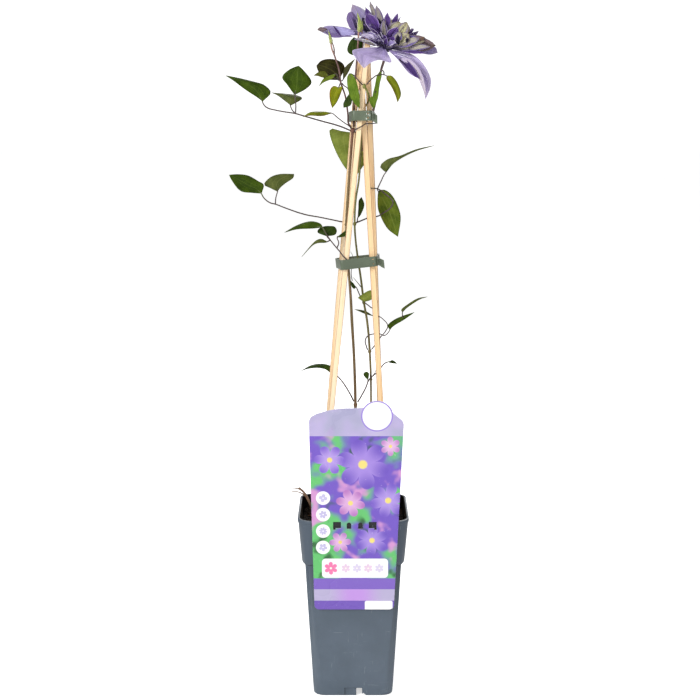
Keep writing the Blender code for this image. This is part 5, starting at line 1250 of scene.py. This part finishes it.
def make_soil():
    """The soil block, its top rough, with crumbs, chips and fibres strewn over it."""
    soil = add(bpy.ops.mesh.primitive_grid_add, x_subdivisions=60, y_subdivisions=60, size=2)
    for vertex in soil.data.vertices:
        vertex.co = soil_place(vertex.co.x, vertex.co.y)
    height = SOIL_TOP
    with editing():
        for size, level in ((0.953, COLLAR_FOOT + 3), (0.93, COLLAR_FOOT), (0.84, FLOOR_TOP + 0.6)):
            pull_out(z=level - height)
            bpy.ops.transform.resize(value=(size, size, 0.05))
            height = level
    face_out(soil)
    dress(soil, SOIL_DARK)
    apply(soil, "TRIANGULATE")
    pieces = [soil]
    draw = random.Random(12)
    crumb = add(bpy.ops.mesh.primitive_ico_sphere_add, subdivisions=2, radius=1)
    for vertex in crumb.data.vertices:
        vertex.co *= 1 + 0.35 * noise.noise(vertex.co * 1.6)
    dress(crumb, SOIL_BROWN)
    chip = block((2.6, 1.4, 0.6), (0, 0, 0), 0.18, 1)
    dress(chip, BARK_CHIP)
    for index in range(CRUMBS):
        model = chip if index % 6 == 0 else crumb
        if index % 5 == 1:
            x = HEAP[0] + draw.gauss(0, 7)
            y = HEAP[1] + draw.gauss(0, 7)
            x, y = min(x, SOIL_HALF - 3) / SOIL_HALF, max(y, 3 - SOIL_HALF) / SOIL_HALF
        else:
            x, y = draw.uniform(-0.95, 0.95), draw.uniform(-0.95, 0.95)
        one = place_in_scene(model.name, model.data.copy())
        size = draw.uniform(0.5, 1.9) if model is crumb else draw.uniform(0.6, 1.7)
        one.location = soil_place(x, y) + Vector((0, 0, 0.2 * size))
        one.rotation_euler = [draw.uniform(0, 6.28) for _ in range(3)]
        one.scale = (size, size * draw.uniform(0.6, 1), size * draw.uniform(0.5, 0.9))
        pieces.append(one)
    for model in (crumb, chip):
        bpy.data.objects.remove(model, do_unlink=True)
    for index in range(FIBRES):
        start = soil_place(draw.uniform(-0.85, 0.85), draw.uniform(-0.85, 0.85)) + Vector((0, 0, 0.7))
        turn = draw.uniform(0, 6.28)
        steps = [start]
        for _ in range(3):
            turn += draw.uniform(-0.6, 0.6)
            steps.append(steps[-1] + Vector((math.cos(turn), math.sin(turn), draw.uniform(-0.15, 0.25))) * 3.2)
        pieces.append(tube(steps, 0.22, 0.14, TWIG_BARK, sides=0, seed=index))
    present(fuse(pieces), "soil_and_crumbs", "soil", "soil", sharp=50)


def cane_at(cane, z):
    share = (z - CANE_SOIL) / (CANE_TOP - CANE_SOIL)
    return Vector((*(low + (high - low) * share for low, high in zip(cane.soil, cane.top)), z))


def make_cane(cane, seed):
    """A square cane, planed, a hair uneven along its length, with its own lengthwise grain."""
    bar = block((CANE_SIDE, CANE_SIDE, CANE_LENGTH), (0, 0, 0), 0.45)
    with editing(False):
        bpy.ops.mesh.select_all(action="DESELECT")
    for edge in bar.data.edges:
        first, second = (bar.data.vertices[index].co for index in edge.vertices)
        edge.select = abs(first.z - second.z) > CANE_LENGTH / 2
    with editing(False):
        bpy.ops.mesh.subdivide(number_cuts=23)
    grain = bar.data.attributes.new("grain", "FLOAT_VECTOR", "POINT")
    for vertex in bar.data.vertices:
        grain.data[vertex.index].vector = vertex.co * MM + Vector((0.0, 0.0, seed))
        for axis, layer in ((0, 0.0), (1, 9.0)):
            vertex.co[axis] += 0.12 * noise.noise(Vector((vertex.co.z * 0.012, seed * 5.0, layer)))
    top = cane_at(cane, CANE_TOP)
    along = (top - cane_at(cane, CANE_SOIL)).normalized()
    bar.data.transform(Vector((0, 0, 1)).rotation_difference(along).to_matrix().to_4x4())
    bar.location = top - along * CANE_LENGTH / 2
    dress(bar, CANE_WOOD if cane.soil[0] < 0 else CANE_WOOD_WARM)
    present(bar, cane.name + "_wood", "cane_wood", cane.name, sharp=50)


def band_corners(corners, radius, steps):
    """A closed band's outline in plan, straight with round corners."""
    points = []
    for index, corner in enumerate(corners):
        corner = Vector(corner)
        back = (Vector(corners[index - 1]) - corner).normalized()
        ahead = (Vector(corners[(index + 1) % len(corners)]) - corner).normalized()
        half_angle = back.angle(ahead) / 2
        centre = corner + (back + ahead).normalized() * radius / math.sin(half_angle)
        first = corner + back * radius / math.tan(half_angle) - centre
        last = corner + ahead * radius / math.tan(half_angle) - centre
        for step in range(steps + 1):
            points.append(centre + first.lerp(last, step / steps).normalized() * radius)
    return points


def flat_curve(name, outlines, thickness, edge, filled=True):
    """A flat curve with thickness, made a mesh: outlines are closed, the first one outermost."""
    curve = bpy.data.curves.new(name, "CURVE")
    curve.dimensions = "2D"
    curve.fill_mode = "BOTH" if filled else "NONE"
    curve.extrude = thickness / 2 - edge
    curve.bevel_depth = edge
    curve.bevel_resolution = 1
    for outline in outlines:
        line = curve.splines.new("POLY")
        line.points.add(len(outline) - 1)
        for point, (x, y) in zip(line.points, outline):
            point.co = (x, y, 0, 1)
        line.use_cyclic_u = True
    return to_mesh(curve)


def make_clip(clip):
    """A strap round the canes with a lock plate, two lock holes and its end standing out as a tail."""
    band = flat_curve("band", [band_corners(clip.corners, 3.2, 6)], BAND_HEIGHT, 0.0, filled=False)
    with editing():
        bpy.ops.mesh.remove_doubles(threshold=0.01)
        bpy.ops.mesh.normals_make_consistent(inside=False)
    apply(band, "SOLIDIFY", thickness=BAND, offset=-1, use_even_offset=True)
    apply(band, "BEVEL", width=0.22, segments=2, limit_method="ANGLE", angle_limit=math.radians(50))
    foot = Vector(clip.corners[1]) + Vector((-1.2, 0.9))
    length = clip.tail + 1.5
    tail = block((length, BAND, 8.6), (0, 0, 0), 0.3)
    with editing():
        bpy.ops.mesh.subdivide(number_cuts=5)
    for vertex in tail.data.vertices:
        reach = (vertex.co.x + length / 2) / length
        waist = 1 - 0.22 * math.sin(math.pi * min(reach * 1.5, 1)) + 0.08 * reach
        vertex.co.z = vertex.co.z * waist - 4.4 * reach ** 1.4
        vertex.co.y += 1.4 * reach + 0.7 * math.sin(4.5 * reach)
        vertex.co.x += foot.x + length / 2 - 1.5
        vertex.co.y += foot.y + BAND / 2
    plate = block((3.4, 2.1, BAND_HEIGHT - 0.6), (foot.x - 3.0, foot.y - 0.1, 0), 0.35)
    front = Vector(clip.corners[1]) - Vector(clip.corners[0])
    plate.rotation_euler.z = math.atan2(front.y, front.x)
    apply_place(plate)
    teeth = [block((0.7, 0.8, 6.4), (foot.x + 1.6 + 1.7 * step, foot.y + 0.1 + 0.25 * step, -0.2 - 0.25 * step), 0.18)
             for step in range(3)]
    for part in (plate, band):
        cut(part, [pin(LOCK_HOLE, 12, (foot.x - 3.0, foot.y, z), (math.pi / 2, 0, 0)) for z in LOCK_HOLE_HEIGHTS])
    strap = fuse([band, tail, plate, *teeth])
    dress(strap, CLIP_PLASTIC)
    middle = Vector((sum(x for x, _ in clip.corners) / 4, sum(y for _, y in clip.corners) / 4, 0.0))
    turn = Matrix.Rotation(math.radians(clip.roll), 4, "Y") @ Matrix.Rotation(math.radians(-clip.pitch), 4, "X")
    lift = Matrix.Translation((0.0, 0.0, clip.height))
    strap.data.transform(lift @ Matrix.Translation(middle) @ turn @ Matrix.Translation(-middle))
    present(strap, clip.name + "_strap", "clip_plastic", clip.name, sharp=40)


def arc(centre, radius, start, end, steps):
    """Points of a round stretch, its angles in degrees."""
    points = []
    for step in range(steps + 1):
        turn = math.radians(start + (end - start) * step / steps)
        points.append((centre[0] + radius * math.cos(turn), centre[1] + radius * math.sin(turn)))
    return points


def make_label():
    """The die-cut sheet, leaned on the pot's collar, with tongues over the rim."""
    crest = [(x, z) for x, _, z in evenly([(3, 0, 328), (-12, 0, 327.6), (-25, 0, 325.8), (-39, 0, 321.6)], 9)]
    outline = [
        *arc((-36.7, 106.6), 5.2, 180, 270, 8), *arc((38.8, 106.6), 5.2, 270, 360, 8),
        *arc((44.6, 309.5), 8.3, 0, 60, 8), *arc(DISC, DISC_RADIUS, 14, 146, 26), *crest,
        *arc((-38.3, 312.5), 8.3, 125, 180, 7),
    ]
    windows = []
    for x in LABEL_SLOTS:
        side = math.copysign(1, x)
        inner, outer, leg = x - side * 4.25, x + side * 4.25, x + side * 1.65
        windows.append([(inner, 202), (outer, 202), (outer, 192.8), (leg, 192.8), (leg, 194.6), (inner, 194.6)])
    for x in LABEL_ARCHES:
        windows.append([*arc((x, 198.9), 2.5, 0, 180, 8), (x - 2.5, 193.9), (x + 2.5, 193.9)])
    turned = [[(x, z - POT_HEIGHT) for x, z in line] for line in (outline, *windows)]
    sheet = flat_curve("label", turned, LABEL_THICKNESS, 0.08)
    dress(sheet, LABEL_PRINT, LABEL_BACK)
    for face in sheet.data.polygons:
        face.material_index = 0 if face.normal.z > 0.9 else 1
    stand = Matrix.Translation((0, -LABEL_STAND - LABEL_THICKNESS / 2, POT_HEIGHT))
    sheet.data.transform(stand @ Matrix.Rotation(LABEL_LEAN, 4, "X") @ Matrix.Rotation(math.pi / 2, 4, "X"))
    pieces = [sheet]
    under = POT_HEIGHT + 0.3
    front = -LABEL_STAND - LABEL_THICKNESS / 2
    inner = WALL + 1.4 - RIM_HALF
    for x, width in (*((x, 7.4) for x in LABEL_SLOTS), *((x, 4.2) for x in LABEL_ARCHES)):
        tongue = add(bpy.ops.mesh.primitive_plane_add, size=1, location=(x, (front + inner - 0.8) / 2, under))
        tongue.scale = (width, inner - 0.8 - front, 1)
        apply_place(tongue)
        for edge in tongue.data.edges:
            edge.select = all(tongue.data.vertices[index].co.y > inner - 1 for index in edge.vertices)
        for corner in tongue.data.vertices:
            corner.select = corner.co.y > inner - 1
        for face in tongue.data.polygons:
            face.select = False
        with editing(False):
            for y, z in ((0.5, -0.25), (0.25, -0.5), (0.6, -7.2)):
                pull_out(y=y, z=z)
        face_out(tongue)
        apply(tongue, "SOLIDIFY", thickness=LABEL_THICKNESS - 0.1, offset=1)
        dress(tongue, LABEL_BACK)
        pieces.append(tongue)
    present(fuse(pieces), "label_sheet", "label_film", "label", sharp=30)


def swelling(place, radius, surface, stretch=1.3):
    """A node on a stem, longer than it is wide."""
    knob = add(bpy.ops.mesh.primitive_uv_sphere_add, segments=14, ring_count=9, radius=radius, location=place)
    for vertex in knob.data.vertices:
        vertex.co *= 1 + 0.12 * noise.noise(vertex.co * 1.3 + Vector(place))
        vertex.co.z *= stretch
    dress(knob, surface)
    return knob


def make_stem(name, route, start, end, knobs, surface):
    pieces = [tube(route, start, end, surface, sides=3, swell=0.09, seed=len(route))]
    for *place, radius in knobs:
        knob = swelling(place, radius, surface)
        mark_reach(knob, route)
        pieces.append(knob)
    present(fuse(pieces), name + "_bark", "stem_bark", name)


def make_twig():
    pieces = [tube(TWIG, 1.5, 1.1, TWIG_BARK, sides=3, swell=0.2, seed=5)]
    pieces += [tube(fork, 0.95, 0.4, TWIG_BARK, swell=0.2, seed=9) for fork in TWIG_FORKS]
    present(fuse(pieces), "dry_twig_bark", "stem_bark", "dry_root_twig")


def bud_width(shape, share):
    for (start, low), (end, high) in zip(shape, shape[1:]):
        if share <= end:
            return low + (high - low) * (share - start) / (end - start)
    return 0.0


def make_bud(name, stalk, radius, bud, bud_radius, shape, strand, down):
    """A pointed bud of folded sepals, ribbed along its length, ragged and downy at its foot."""
    body = add(bpy.ops.mesh.primitive_uv_sphere_add, segments=24, ring_count=18, radius=1)
    line = evenly(bud, BUD_STEPS)
    for vertex in body.data.vertices:
        share = (vertex.co.z + 1) / 2
        turn = math.atan2(vertex.co.y, vertex.co.x)
        low = min(int(share * BUD_STEPS), BUD_STEPS - 1)
        middle = line[low].lerp(line[low + 1], share * BUD_STEPS - low)
        ridge = 1 + 0.14 * math.cos(4 * turn + 2.5 * share) - 0.08 * abs(math.sin(8 * turn))
        ridge += 0.22 * noise.noise(Vector((turn, share * 5.0, bud_radius)))
        around = Vector((math.cos(turn), math.sin(turn), 0)) if 0 < share < 1 else Vector((0, 0, 0))
        vertex.co = middle + around * bud_radius * bud_width(shape, share) * ridge
    dress(body, BUD_SKIN)
    pieces = [body, tube(stalk, radius, radius * 0.9, BUD_STALK_SKIN, swell=0.05, seed=8),
              tube(strand, 0.8, 0.55, BUD_STALK_SKIN)]
    draw = random.Random(len(name))
    for index in range(7):
        turn = math.tau * index / 7 + draw.uniform(-0.3, 0.3)
        out = Vector((math.cos(turn), math.sin(turn), 0.0)) * bud_radius
        low, high = draw.randint(0, 3), draw.randint(9, 17)
        middle, end = line[(low + high) // 2] + out * 1.05, line[high] + out * draw.uniform(0.6, 1.1)
        route = [line[low] + out * 0.7, middle, end]
        pieces.append(tube(route, 0.42, 0.12, draw.choice((BUD_SKIN, DOWN, DOWN)), sides=1, seed=index))
    for index in range(down):
        turn = draw.uniform(0, math.tau)
        out = Vector((math.cos(turn), math.sin(turn), draw.uniform(0.2, 1.6))).normalized()
        start = line[draw.randint(0, 11)] + out * bud_radius * 0.7
        pieces.append(tube([start, start + out * draw.uniform(0.6, 1.4)], 0.1, 0.04, DOWN, sides=0))
    present(fuse(pieces), name + "_skin", "bud", name)


def level_and_direction(azimuth, rise):
    """The level direction at an angle round the heart, and the one that rises from it, in degrees."""
    turn, up = math.radians(azimuth), math.radians(rise)
    level = Vector((math.cos(turn), math.sin(turn), 0.0))
    return level, level * math.cos(up) + Vector((0.0, 0.0, math.sin(up)))


def plain_petal(look, azimuth, rise, length, width, curl, rows, columns, thickness):
    """A pointed petal that leaves the heart at an angle round it and one above level."""
    level, direction = level_and_direction(azimuth, rise)
    face = Vector((0.0, 0.0, math.cos(math.radians(rise)))) - level * math.sin(math.radians(rise))
    side = direction.cross(face).normalized()

    def place_at(v, u):
        half = width / 2 * math.sin(math.pi * v ** 0.8) ** 0.8 if 0.0 < v < 1.0 else 0.0
        across = 2 * u - 1
        cup = 0.25 * half * across * across + 0.6 * noise.noise(Vector((u * 3, v * 5, azimuth)))
        bend = face * (curl * length * v * v + cup * math.sin(math.pi * v))
        return Vector(BLOOM_HEART) + direction * length * v + bend + side * half * across

    return blade(place_at, rows, columns, thickness, *sides_of(look))


def sides_of(look):
    """The finishes of a petal's two sides."""
    return [PETALS[name] for name in PETAL_LOOKS[look]]


def drawn_petals(table, first_seed, *form):
    """The petals of a table, all of one form: rows, columns, wave, pleat, thickness and raggedness."""
    petals = []
    for index, line in enumerate(table_lines(table)):
        look, *leaf = line.split("|")
        petals.append(leaf_blade(read_leaf(*leaf), *sides_of(look.strip()), index + first_seed, *form))
    return petals


def make_bloom():
    """Broad sepals below, a crowd of narrow petals above them and a dark heart with pale filaments."""
    sepals = drawn_petals(SEPALS, 2, 26, 18, 2.6, 0.9, 0.4)
    petals = drawn_petals(INNER_PETALS, 20, 16, 12, 2.4, 0.8, 0.35, 0.8)
    draw = random.Random(7)
    foot = Vector(BLOOM_HEART)
    for azimuth, rise in ((42, 4), (88, 8)):
        sepals.append(plain_petal("lilac_dark", azimuth, rise, 66, 27, -0.1, 22, 14, 0.4))
    for count, rise, length in ((6, 28, 33.0), (4, 58, 30.0)):
        for index in range(count):
            azimuth = 15 + 150 * index / (count - 1) + draw.uniform(-5, 5)
            tilt = rise + draw.uniform(-5, 5)
            size = length * draw.uniform(0.9, 1.1)
            petals.append(plain_petal("violet", azimuth, tilt, size, 10, 0.1, 12, 6, 0.35))
    petals += drawn_petals(NEAR_PETALS, 50, 16, 12, 2.0, 0.8, 0.32, 1.0)
    sepals += drawn_petals(SEPAL_FOLDS, 90, 16, 10, 0.6, 0.3, 0.35, 0.4)
    for index, (azimuth, rise, size, width) in enumerate(SMALL_PETALS):
        petals.append(plain_petal("violet" if index % 3 else "cream", azimuth, rise, size, width, 0.12, 10, 6, 0.3))
    present(fuse(sepals), "bloom_sepals", "petals", "bloom")
    present(fuse(petals), "bloom_petals", "petals", "bloom")
    pieces = [swelling(foot, 8.2, HEART, 0.95)]
    for index in range(FILAMENTS):
        _, direction = level_and_direction(draw.uniform(0, 360), draw.uniform(-20, 80))
        out = direction.normalized()
        reach = draw.uniform(9, 15)
        bend = Vector((draw.uniform(-2, 2), draw.uniform(-2, 2), draw.uniform(-2, 2)))
        start = foot + out * 6
        pieces.append(tube([start, start + out * reach * 0.6 + bend * 0.4, start + out * reach + bend], 0.45, 0.2,
                           FILAMENT_DARK, sides=0, seed=index))
    for line in PALE_FILAMENTS:
        pieces.append(tube(line, 0.32, 0.14, FILAMENT_PALE, sides=1))
    present(fuse(pieces), "bloom_heart", "petals", "bloom")


# The finishes in use

# Leaves: deep, fresh, vein and rim tones, then roughness, share of the veins and share of the rim
LEAF_FINISHES = {
    "green": ((42, 62, 8), (64, 86, 14), (90, 108, 40), (58, 76, 18)),
    "dark_green": ((30, 48, 8), (50, 70, 16), (74, 94, 38), (38, 54, 14)),
    "bright": ((70, 98, 18), (98, 124, 32), (130, 150, 64), (86, 108, 24)),
    "fresh": ((72, 92, 16), (100, 116, 30), (140, 150, 74), (84, 100, 24)),
    "underside": ((64, 74, 30), (88, 96, 46), (116, 122, 70), (74, 80, 34), 0.55, 0.6),
    "olive": ((94, 104, 10), (122, 130, 24), (146, 148, 52), (108, 68, 30), 0.45, 0.5, 0.8),
    "yellow_green": ((102, 112, 6), (138, 142, 20), (166, 164, 56), (138, 62, 26), 0.4, 0.45, 0.9),
    "bronze": ((26, 20, 6), (50, 50, 14), (82, 78, 36), (62, 40, 20), 0.4, 0.7),
    "dusky": ((44, 44, 22), (68, 68, 36), (88, 86, 56), (70, 56, 36), 0.45, 0.7),
    "moss": ((70, 76, 18), (96, 100, 34), (126, 126, 62), (92, 66, 36), 0.45, 0.6),
    "dull_green": ((98, 112, 40), (122, 134, 58), (146, 154, 84), (100, 112, 44), 0.5),
}

# Petals: face, margin, rib, foot and tip tones, the shares of the last four, then the streaks' and the rim's tone
PETAL_FINISHES = {
    "sepal_lilac": ((146, 132, 182), (170, 160, 200), (186, 176, 200), (84, 66, 130), (176, 162, 184),
                    (0.55, 0.5, 0.6, 0.5), (84, 66, 142)),
    "sepal_pale": ((158, 146, 186), (188, 178, 206), (200, 192, 204), (90, 72, 134), (150, 130, 140),
                   (0.6, 0.6, 0.5, 0.6), (98, 82, 148)),
    "sepal_blue": ((192, 176, 216), (202, 190, 226), (204, 194, 214), (118, 98, 168), (208, 196, 212),
                   (0.5, 0.25, 0.5, 0.5), (146, 126, 186), (198, 184, 222)),
    # Painted shade: a deep violet copy of the sepals for their far sides
    "sepal_painted_shade": ((84, 66, 148), (104, 86, 168), (118, 100, 170), (48, 36, 92), (128, 112, 170),
                   (0.5, 0.4, 0.6, 0.3), (54, 40, 108)),
    # Painted highlight: the pale bluish flap on the long left sepal
    "sepal_painted_highlight": ((180, 174, 222), (160, 148, 202), (196, 190, 226), (140, 126, 176), (150, 134, 184),
                  (0.5, 0.3, 0.5, 0.5), (150, 140, 200), (150, 136, 180)),
    "sepal_dusk": ((116, 98, 148), (138, 118, 172), (140, 122, 160), (86, 66, 112), (124, 104, 150),
                   (0.6, 0.3, 0.5, 0.5), (90, 70, 124), (110, 90, 130)),
    "sepal_beige": ((206, 196, 202), (182, 166, 208), (222, 212, 208), (166, 150, 188), (206, 190, 196),
                    (0.5, 0.4, 0.5, 0.5), (176, 158, 180), (186, 170, 206)),
    "petal_violet": ((78, 44, 124), (116, 84, 160), (112, 82, 150), (18, 8, 36), (116, 92, 148),
                     (0.6, 0.5, 0.85, 0.4), (34, 18, 64), (200, 186, 214)),
    "petal_deep": ((56, 28, 96), (84, 54, 134), (94, 66, 134), (10, 5, 20), (84, 60, 122),
                   (0.6, 0.4, 0.9, 0.3), (22, 12, 44), (156, 136, 186)),
    "petal_bright": ((112, 72, 166), (132, 98, 184), (126, 92, 176), (44, 26, 84), (150, 122, 186),
                     (0.6, 0.4, 0.7, 0.4), (74, 44, 124), (176, 156, 206)),
    "petal_white": ((214, 204, 230), (228, 220, 238), (196, 182, 220), (124, 104, 166), (232, 226, 240),
                    (0.6, 0.5, 0.6, 0.5), (164, 144, 200), (238, 232, 244)),
    # Painted shade: near-black petals that fill the shaded gaps between petals
    "petal_painted_shade": ((28, 18, 48), (44, 30, 72), (52, 40, 78), (8, 5, 16), (58, 42, 86),
                   (0.6, 0.3, 0.8, 0.4), (12, 7, 26), (70, 54, 96)),
    "petal_grey": ((166, 158, 146), (112, 92, 154), (192, 186, 162), (54, 40, 84), (132, 116, 142),
                   (0.9, 0.6, 0.8, 0.5), (88, 76, 104), (176, 164, 194)),
    "petal_cream": ((196, 192, 148), (108, 88, 150), (212, 208, 166), (80, 62, 114), (136, 122, 78),
                    (0.7, 0.6, 0.7, 0.7), (112, 100, 82), (150, 138, 92)),
    "petal_stripe": ((194, 188, 164), (82, 60, 140), (214, 208, 184), (44, 30, 84), (104, 84, 118),
                     (0.95, 0.6, 0.8, 0.6), (88, 72, 108), (176, 162, 196)),
    "petal_pale_edge": ((112, 84, 162), (218, 210, 230), (132, 106, 176), (34, 20, 74), (212, 204, 222),
                        (0.7, 0.3, 0.85, 0.5), (60, 42, 116), (226, 218, 236)),
    "petal_dry_tip": ((138, 116, 124), (100, 80, 96), (174, 162, 130), (54, 38, 74), (108, 82, 62),
                      (0.7, 0.6, 0.6, 0.95), (66, 50, 66), (136, 118, 96)),
}

# Looks of the petals: the side towards the viewer, then the other side
PETAL_LOOKS = {
    "bright": ("petal_bright", "petal_deep"), "cream": ("petal_cream", "petal_violet"),
    "dark": ("petal_painted_shade", "petal_deep"), "deep": ("petal_deep", "petal_violet"),
    "brown": ("petal_dry_tip", "petal_violet"), "dry": ("petal_dry_tip", "sepal_pale"),
    "grey": ("petal_grey", "petal_violet"), "edge": ("petal_pale_edge", "petal_deep"),
    "stripe": ("petal_stripe", "petal_violet"), "violet": ("petal_violet", "petal_grey"),
    "white": ("petal_white", "petal_deep"), "beige": ("sepal_beige", "sepal_blue"),
    "blue": ("sepal_blue", "sepal_pale"), "blue_dark": ("sepal_blue", "sepal_painted_shade"),
    "dusk": ("sepal_dusk", "sepal_painted_shade"), "lilac": ("sepal_lilac", "sepal_pale"),
    "lilac_dark": ("sepal_lilac", "sepal_painted_shade"), "pale": ("sepal_pale", "sepal_lilac"),
    "sky": ("sepal_painted_highlight", "sepal_pale"),
}

POT_PLASTIC = pot_surface("pot_plastic_outside", (89, 101, 114), (83, 95, 107), (66, 78, 91), 0.12, 0.5)
# Painted shade: the same plastic made near-black for the pot's inner walls
POT_INSIDE_SHADED = pot_surface("pot_plastic_inside_painted_shade", (22, 22, 23), (9, 8, 8), (10, 9, 9), 0.5, 0.12)
CLIP_PLASTIC = clip_surface()
CANE_WOOD = cane_surface("cane_wood_pale", (254, 233, 202), (246, 214, 168))
CANE_WOOD_WARM = cane_surface("cane_wood_warm", (253, 222, 178), (242, 202, 150))
SOIL_DARK = soil_surface("soil_dark", (12, 8, 6), (34, 23, 16), (92, 68, 48))
SOIL_BROWN = soil_surface("soil_brown", (24, 16, 11), (58, 40, 28), (112, 86, 60))
BARK_CHIP = soil_surface("bark_chip", (64, 44, 30), (104, 74, 50), (140, 108, 78))
TWIG_BARK = stalk_surface("twig_bark", (104, 76, 54), (122, 92, 66), (134, 106, 80), (66, 46, 34))
STEM_A_BARK = stalk_surface("stem_a_skin", (122, 84, 62), (118, 100, 62), (116, 76, 62), (78, 54, 38))
STEM_B_BARK = stalk_surface("stem_b_skin", (112, 88, 54), (108, 108, 54), (132, 136, 62), (72, 72, 34))
BLOOM_STALK_SKIN = stalk_surface("bloom_stalk_skin", (104, 84, 78), (116, 92, 88), (128, 104, 96), (78, 60, 58))
BUD_STALK_SKIN = stalk_surface("bud_stalk_skin", (78, 52, 44), (122, 92, 88), (178, 138, 124), (84, 60, 56))
PETIOLE_SKIN = stalk_surface("petiole_skin", (66, 52, 52), (78, 64, 60), (104, 122, 56), (46, 36, 38))
BUD_SKIN = bud_surface()
DOWN = filament_surface("bud_down", (176, 170, 130), (216, 214, 184))
HEART = heart_surface()
FILAMENT_DARK = filament_surface("filament_dark", (34, 26, 62), (86, 70, 132))
FILAMENT_PALE = filament_surface("filament_pale", (208, 204, 226), (250, 250, 252))
LABEL_PRINT = label_surface()
LABEL_BACK = plain_film_surface()

LEAVES = {name: leaf_surface("leaf_" + name, *tones) for name, tones in LEAF_FINISHES.items()}
PETALS = {name: petal_surface(name, *tones) for name, tones in PETAL_FINISHES.items()}


# The object, from the ground up

make_pot()
make_soil()
make_label()
for number, cane in enumerate(CANES):
    make_cane(cane, number + 1)
for clip in CLIPS:
    make_clip(clip)
make_twig()
make_stem("stem_a", STEM_A, 1.7, 1.4, STEM_A_KNOBS, STEM_A_BARK)
make_stem("stem_b", STEM_B, 1.25, 1.0, STEM_B_KNOBS, STEM_B_BARK)
present(tube(BLOOM_STALK, 1.15, 1.4, BLOOM_STALK_SKIN, swell=0.05), "bloom_stalk_skin", "stem_bark", "bloom_stalk")
for name, branches in read_sprays(SPRAYS).items():
    make_spray(name, branches)
make_bud("bud_left", BUD_LEFT_STALK, 1.0, BUD_LEFT, 1.75, SLIM_BUD, BUD_LEFT_STRAND, 14)
make_bud("bud_centre", BUD_CENTRE_STALK, 1.1, BUD_CENTRE, 2.6, FULL_BUD, BUD_CENTRE_STRAND, 46)
make_bloom()


# Studio

def studio_surface():
    """A plain pale floor, a little brighter in the picture than the lamps make it."""
    surface, tree = new_surface("floor_pale")
    haze = cloud(tree, spots_of(tree)["Object"], 1.5, 2.0)
    paler = tuple(min(1.0, part * 1.03) for part in FLOOR_TONE)
    soft = blend(tree, ease(tree, haze, 0.3, 0.7), FLOOR_TONE, paler)
    seen = put(tree, "ShaderNodeLightPath").outputs["Is Camera Ray"]
    glow = {"Emission Color": soft, "Emission Strength": calc(tree, "MULTIPLY", seen, FLOOR_GLOW)}
    return finish(surface, soft, 0.9, more=glow)


def set_studio():
    floor = add(bpy.ops.mesh.primitive_plane_add, size=FLOOR_SIZE)
    floor.name = "floor"
    dress(floor, studio_surface())
    world = bpy.data.worlds.new("studio")
    bpy.context.scene.world = world
    world.use_nodes = True
    tree = world.node_tree
    sky = tree.nodes["Background"]
    sky.inputs["Color"].default_value = (1, 1, 1, 1)
    seen = put(tree, "ShaderNodeLightPath").outputs["Is Camera Ray"]
    join_to(tree, calc(tree, "MULTIPLY_ADD", seen, WORLD_SEEN - WORLD_LIGHT, WORLD_LIGHT), sky.inputs["Strength"])
    for name, (place, target, size, power) in LAMPS.items():
        light = bpy.data.lights.new(name, "AREA")
        light.size = size
        light.energy = power
        lamp = place_in_scene(name, light)
        lamp.location = place
        lamp.rotation_euler = (Vector(target) - Vector(place)).to_track_quat("-Z", "Y").to_euler()
    bpy.context.scene.view_settings.view_transform = "Standard"


def set_camera():
    view = bpy.data.cameras.new("camera")
    view.lens = LENS
    view.sensor_width = 36
    camera = place_in_scene("camera", view)
    camera.location = CAMERA_PLACE
    camera.rotation_euler = (math.radians(CAMERA_TILT), 0, 0)
    bpy.context.scene.camera = camera


set_studio()
set_camera()
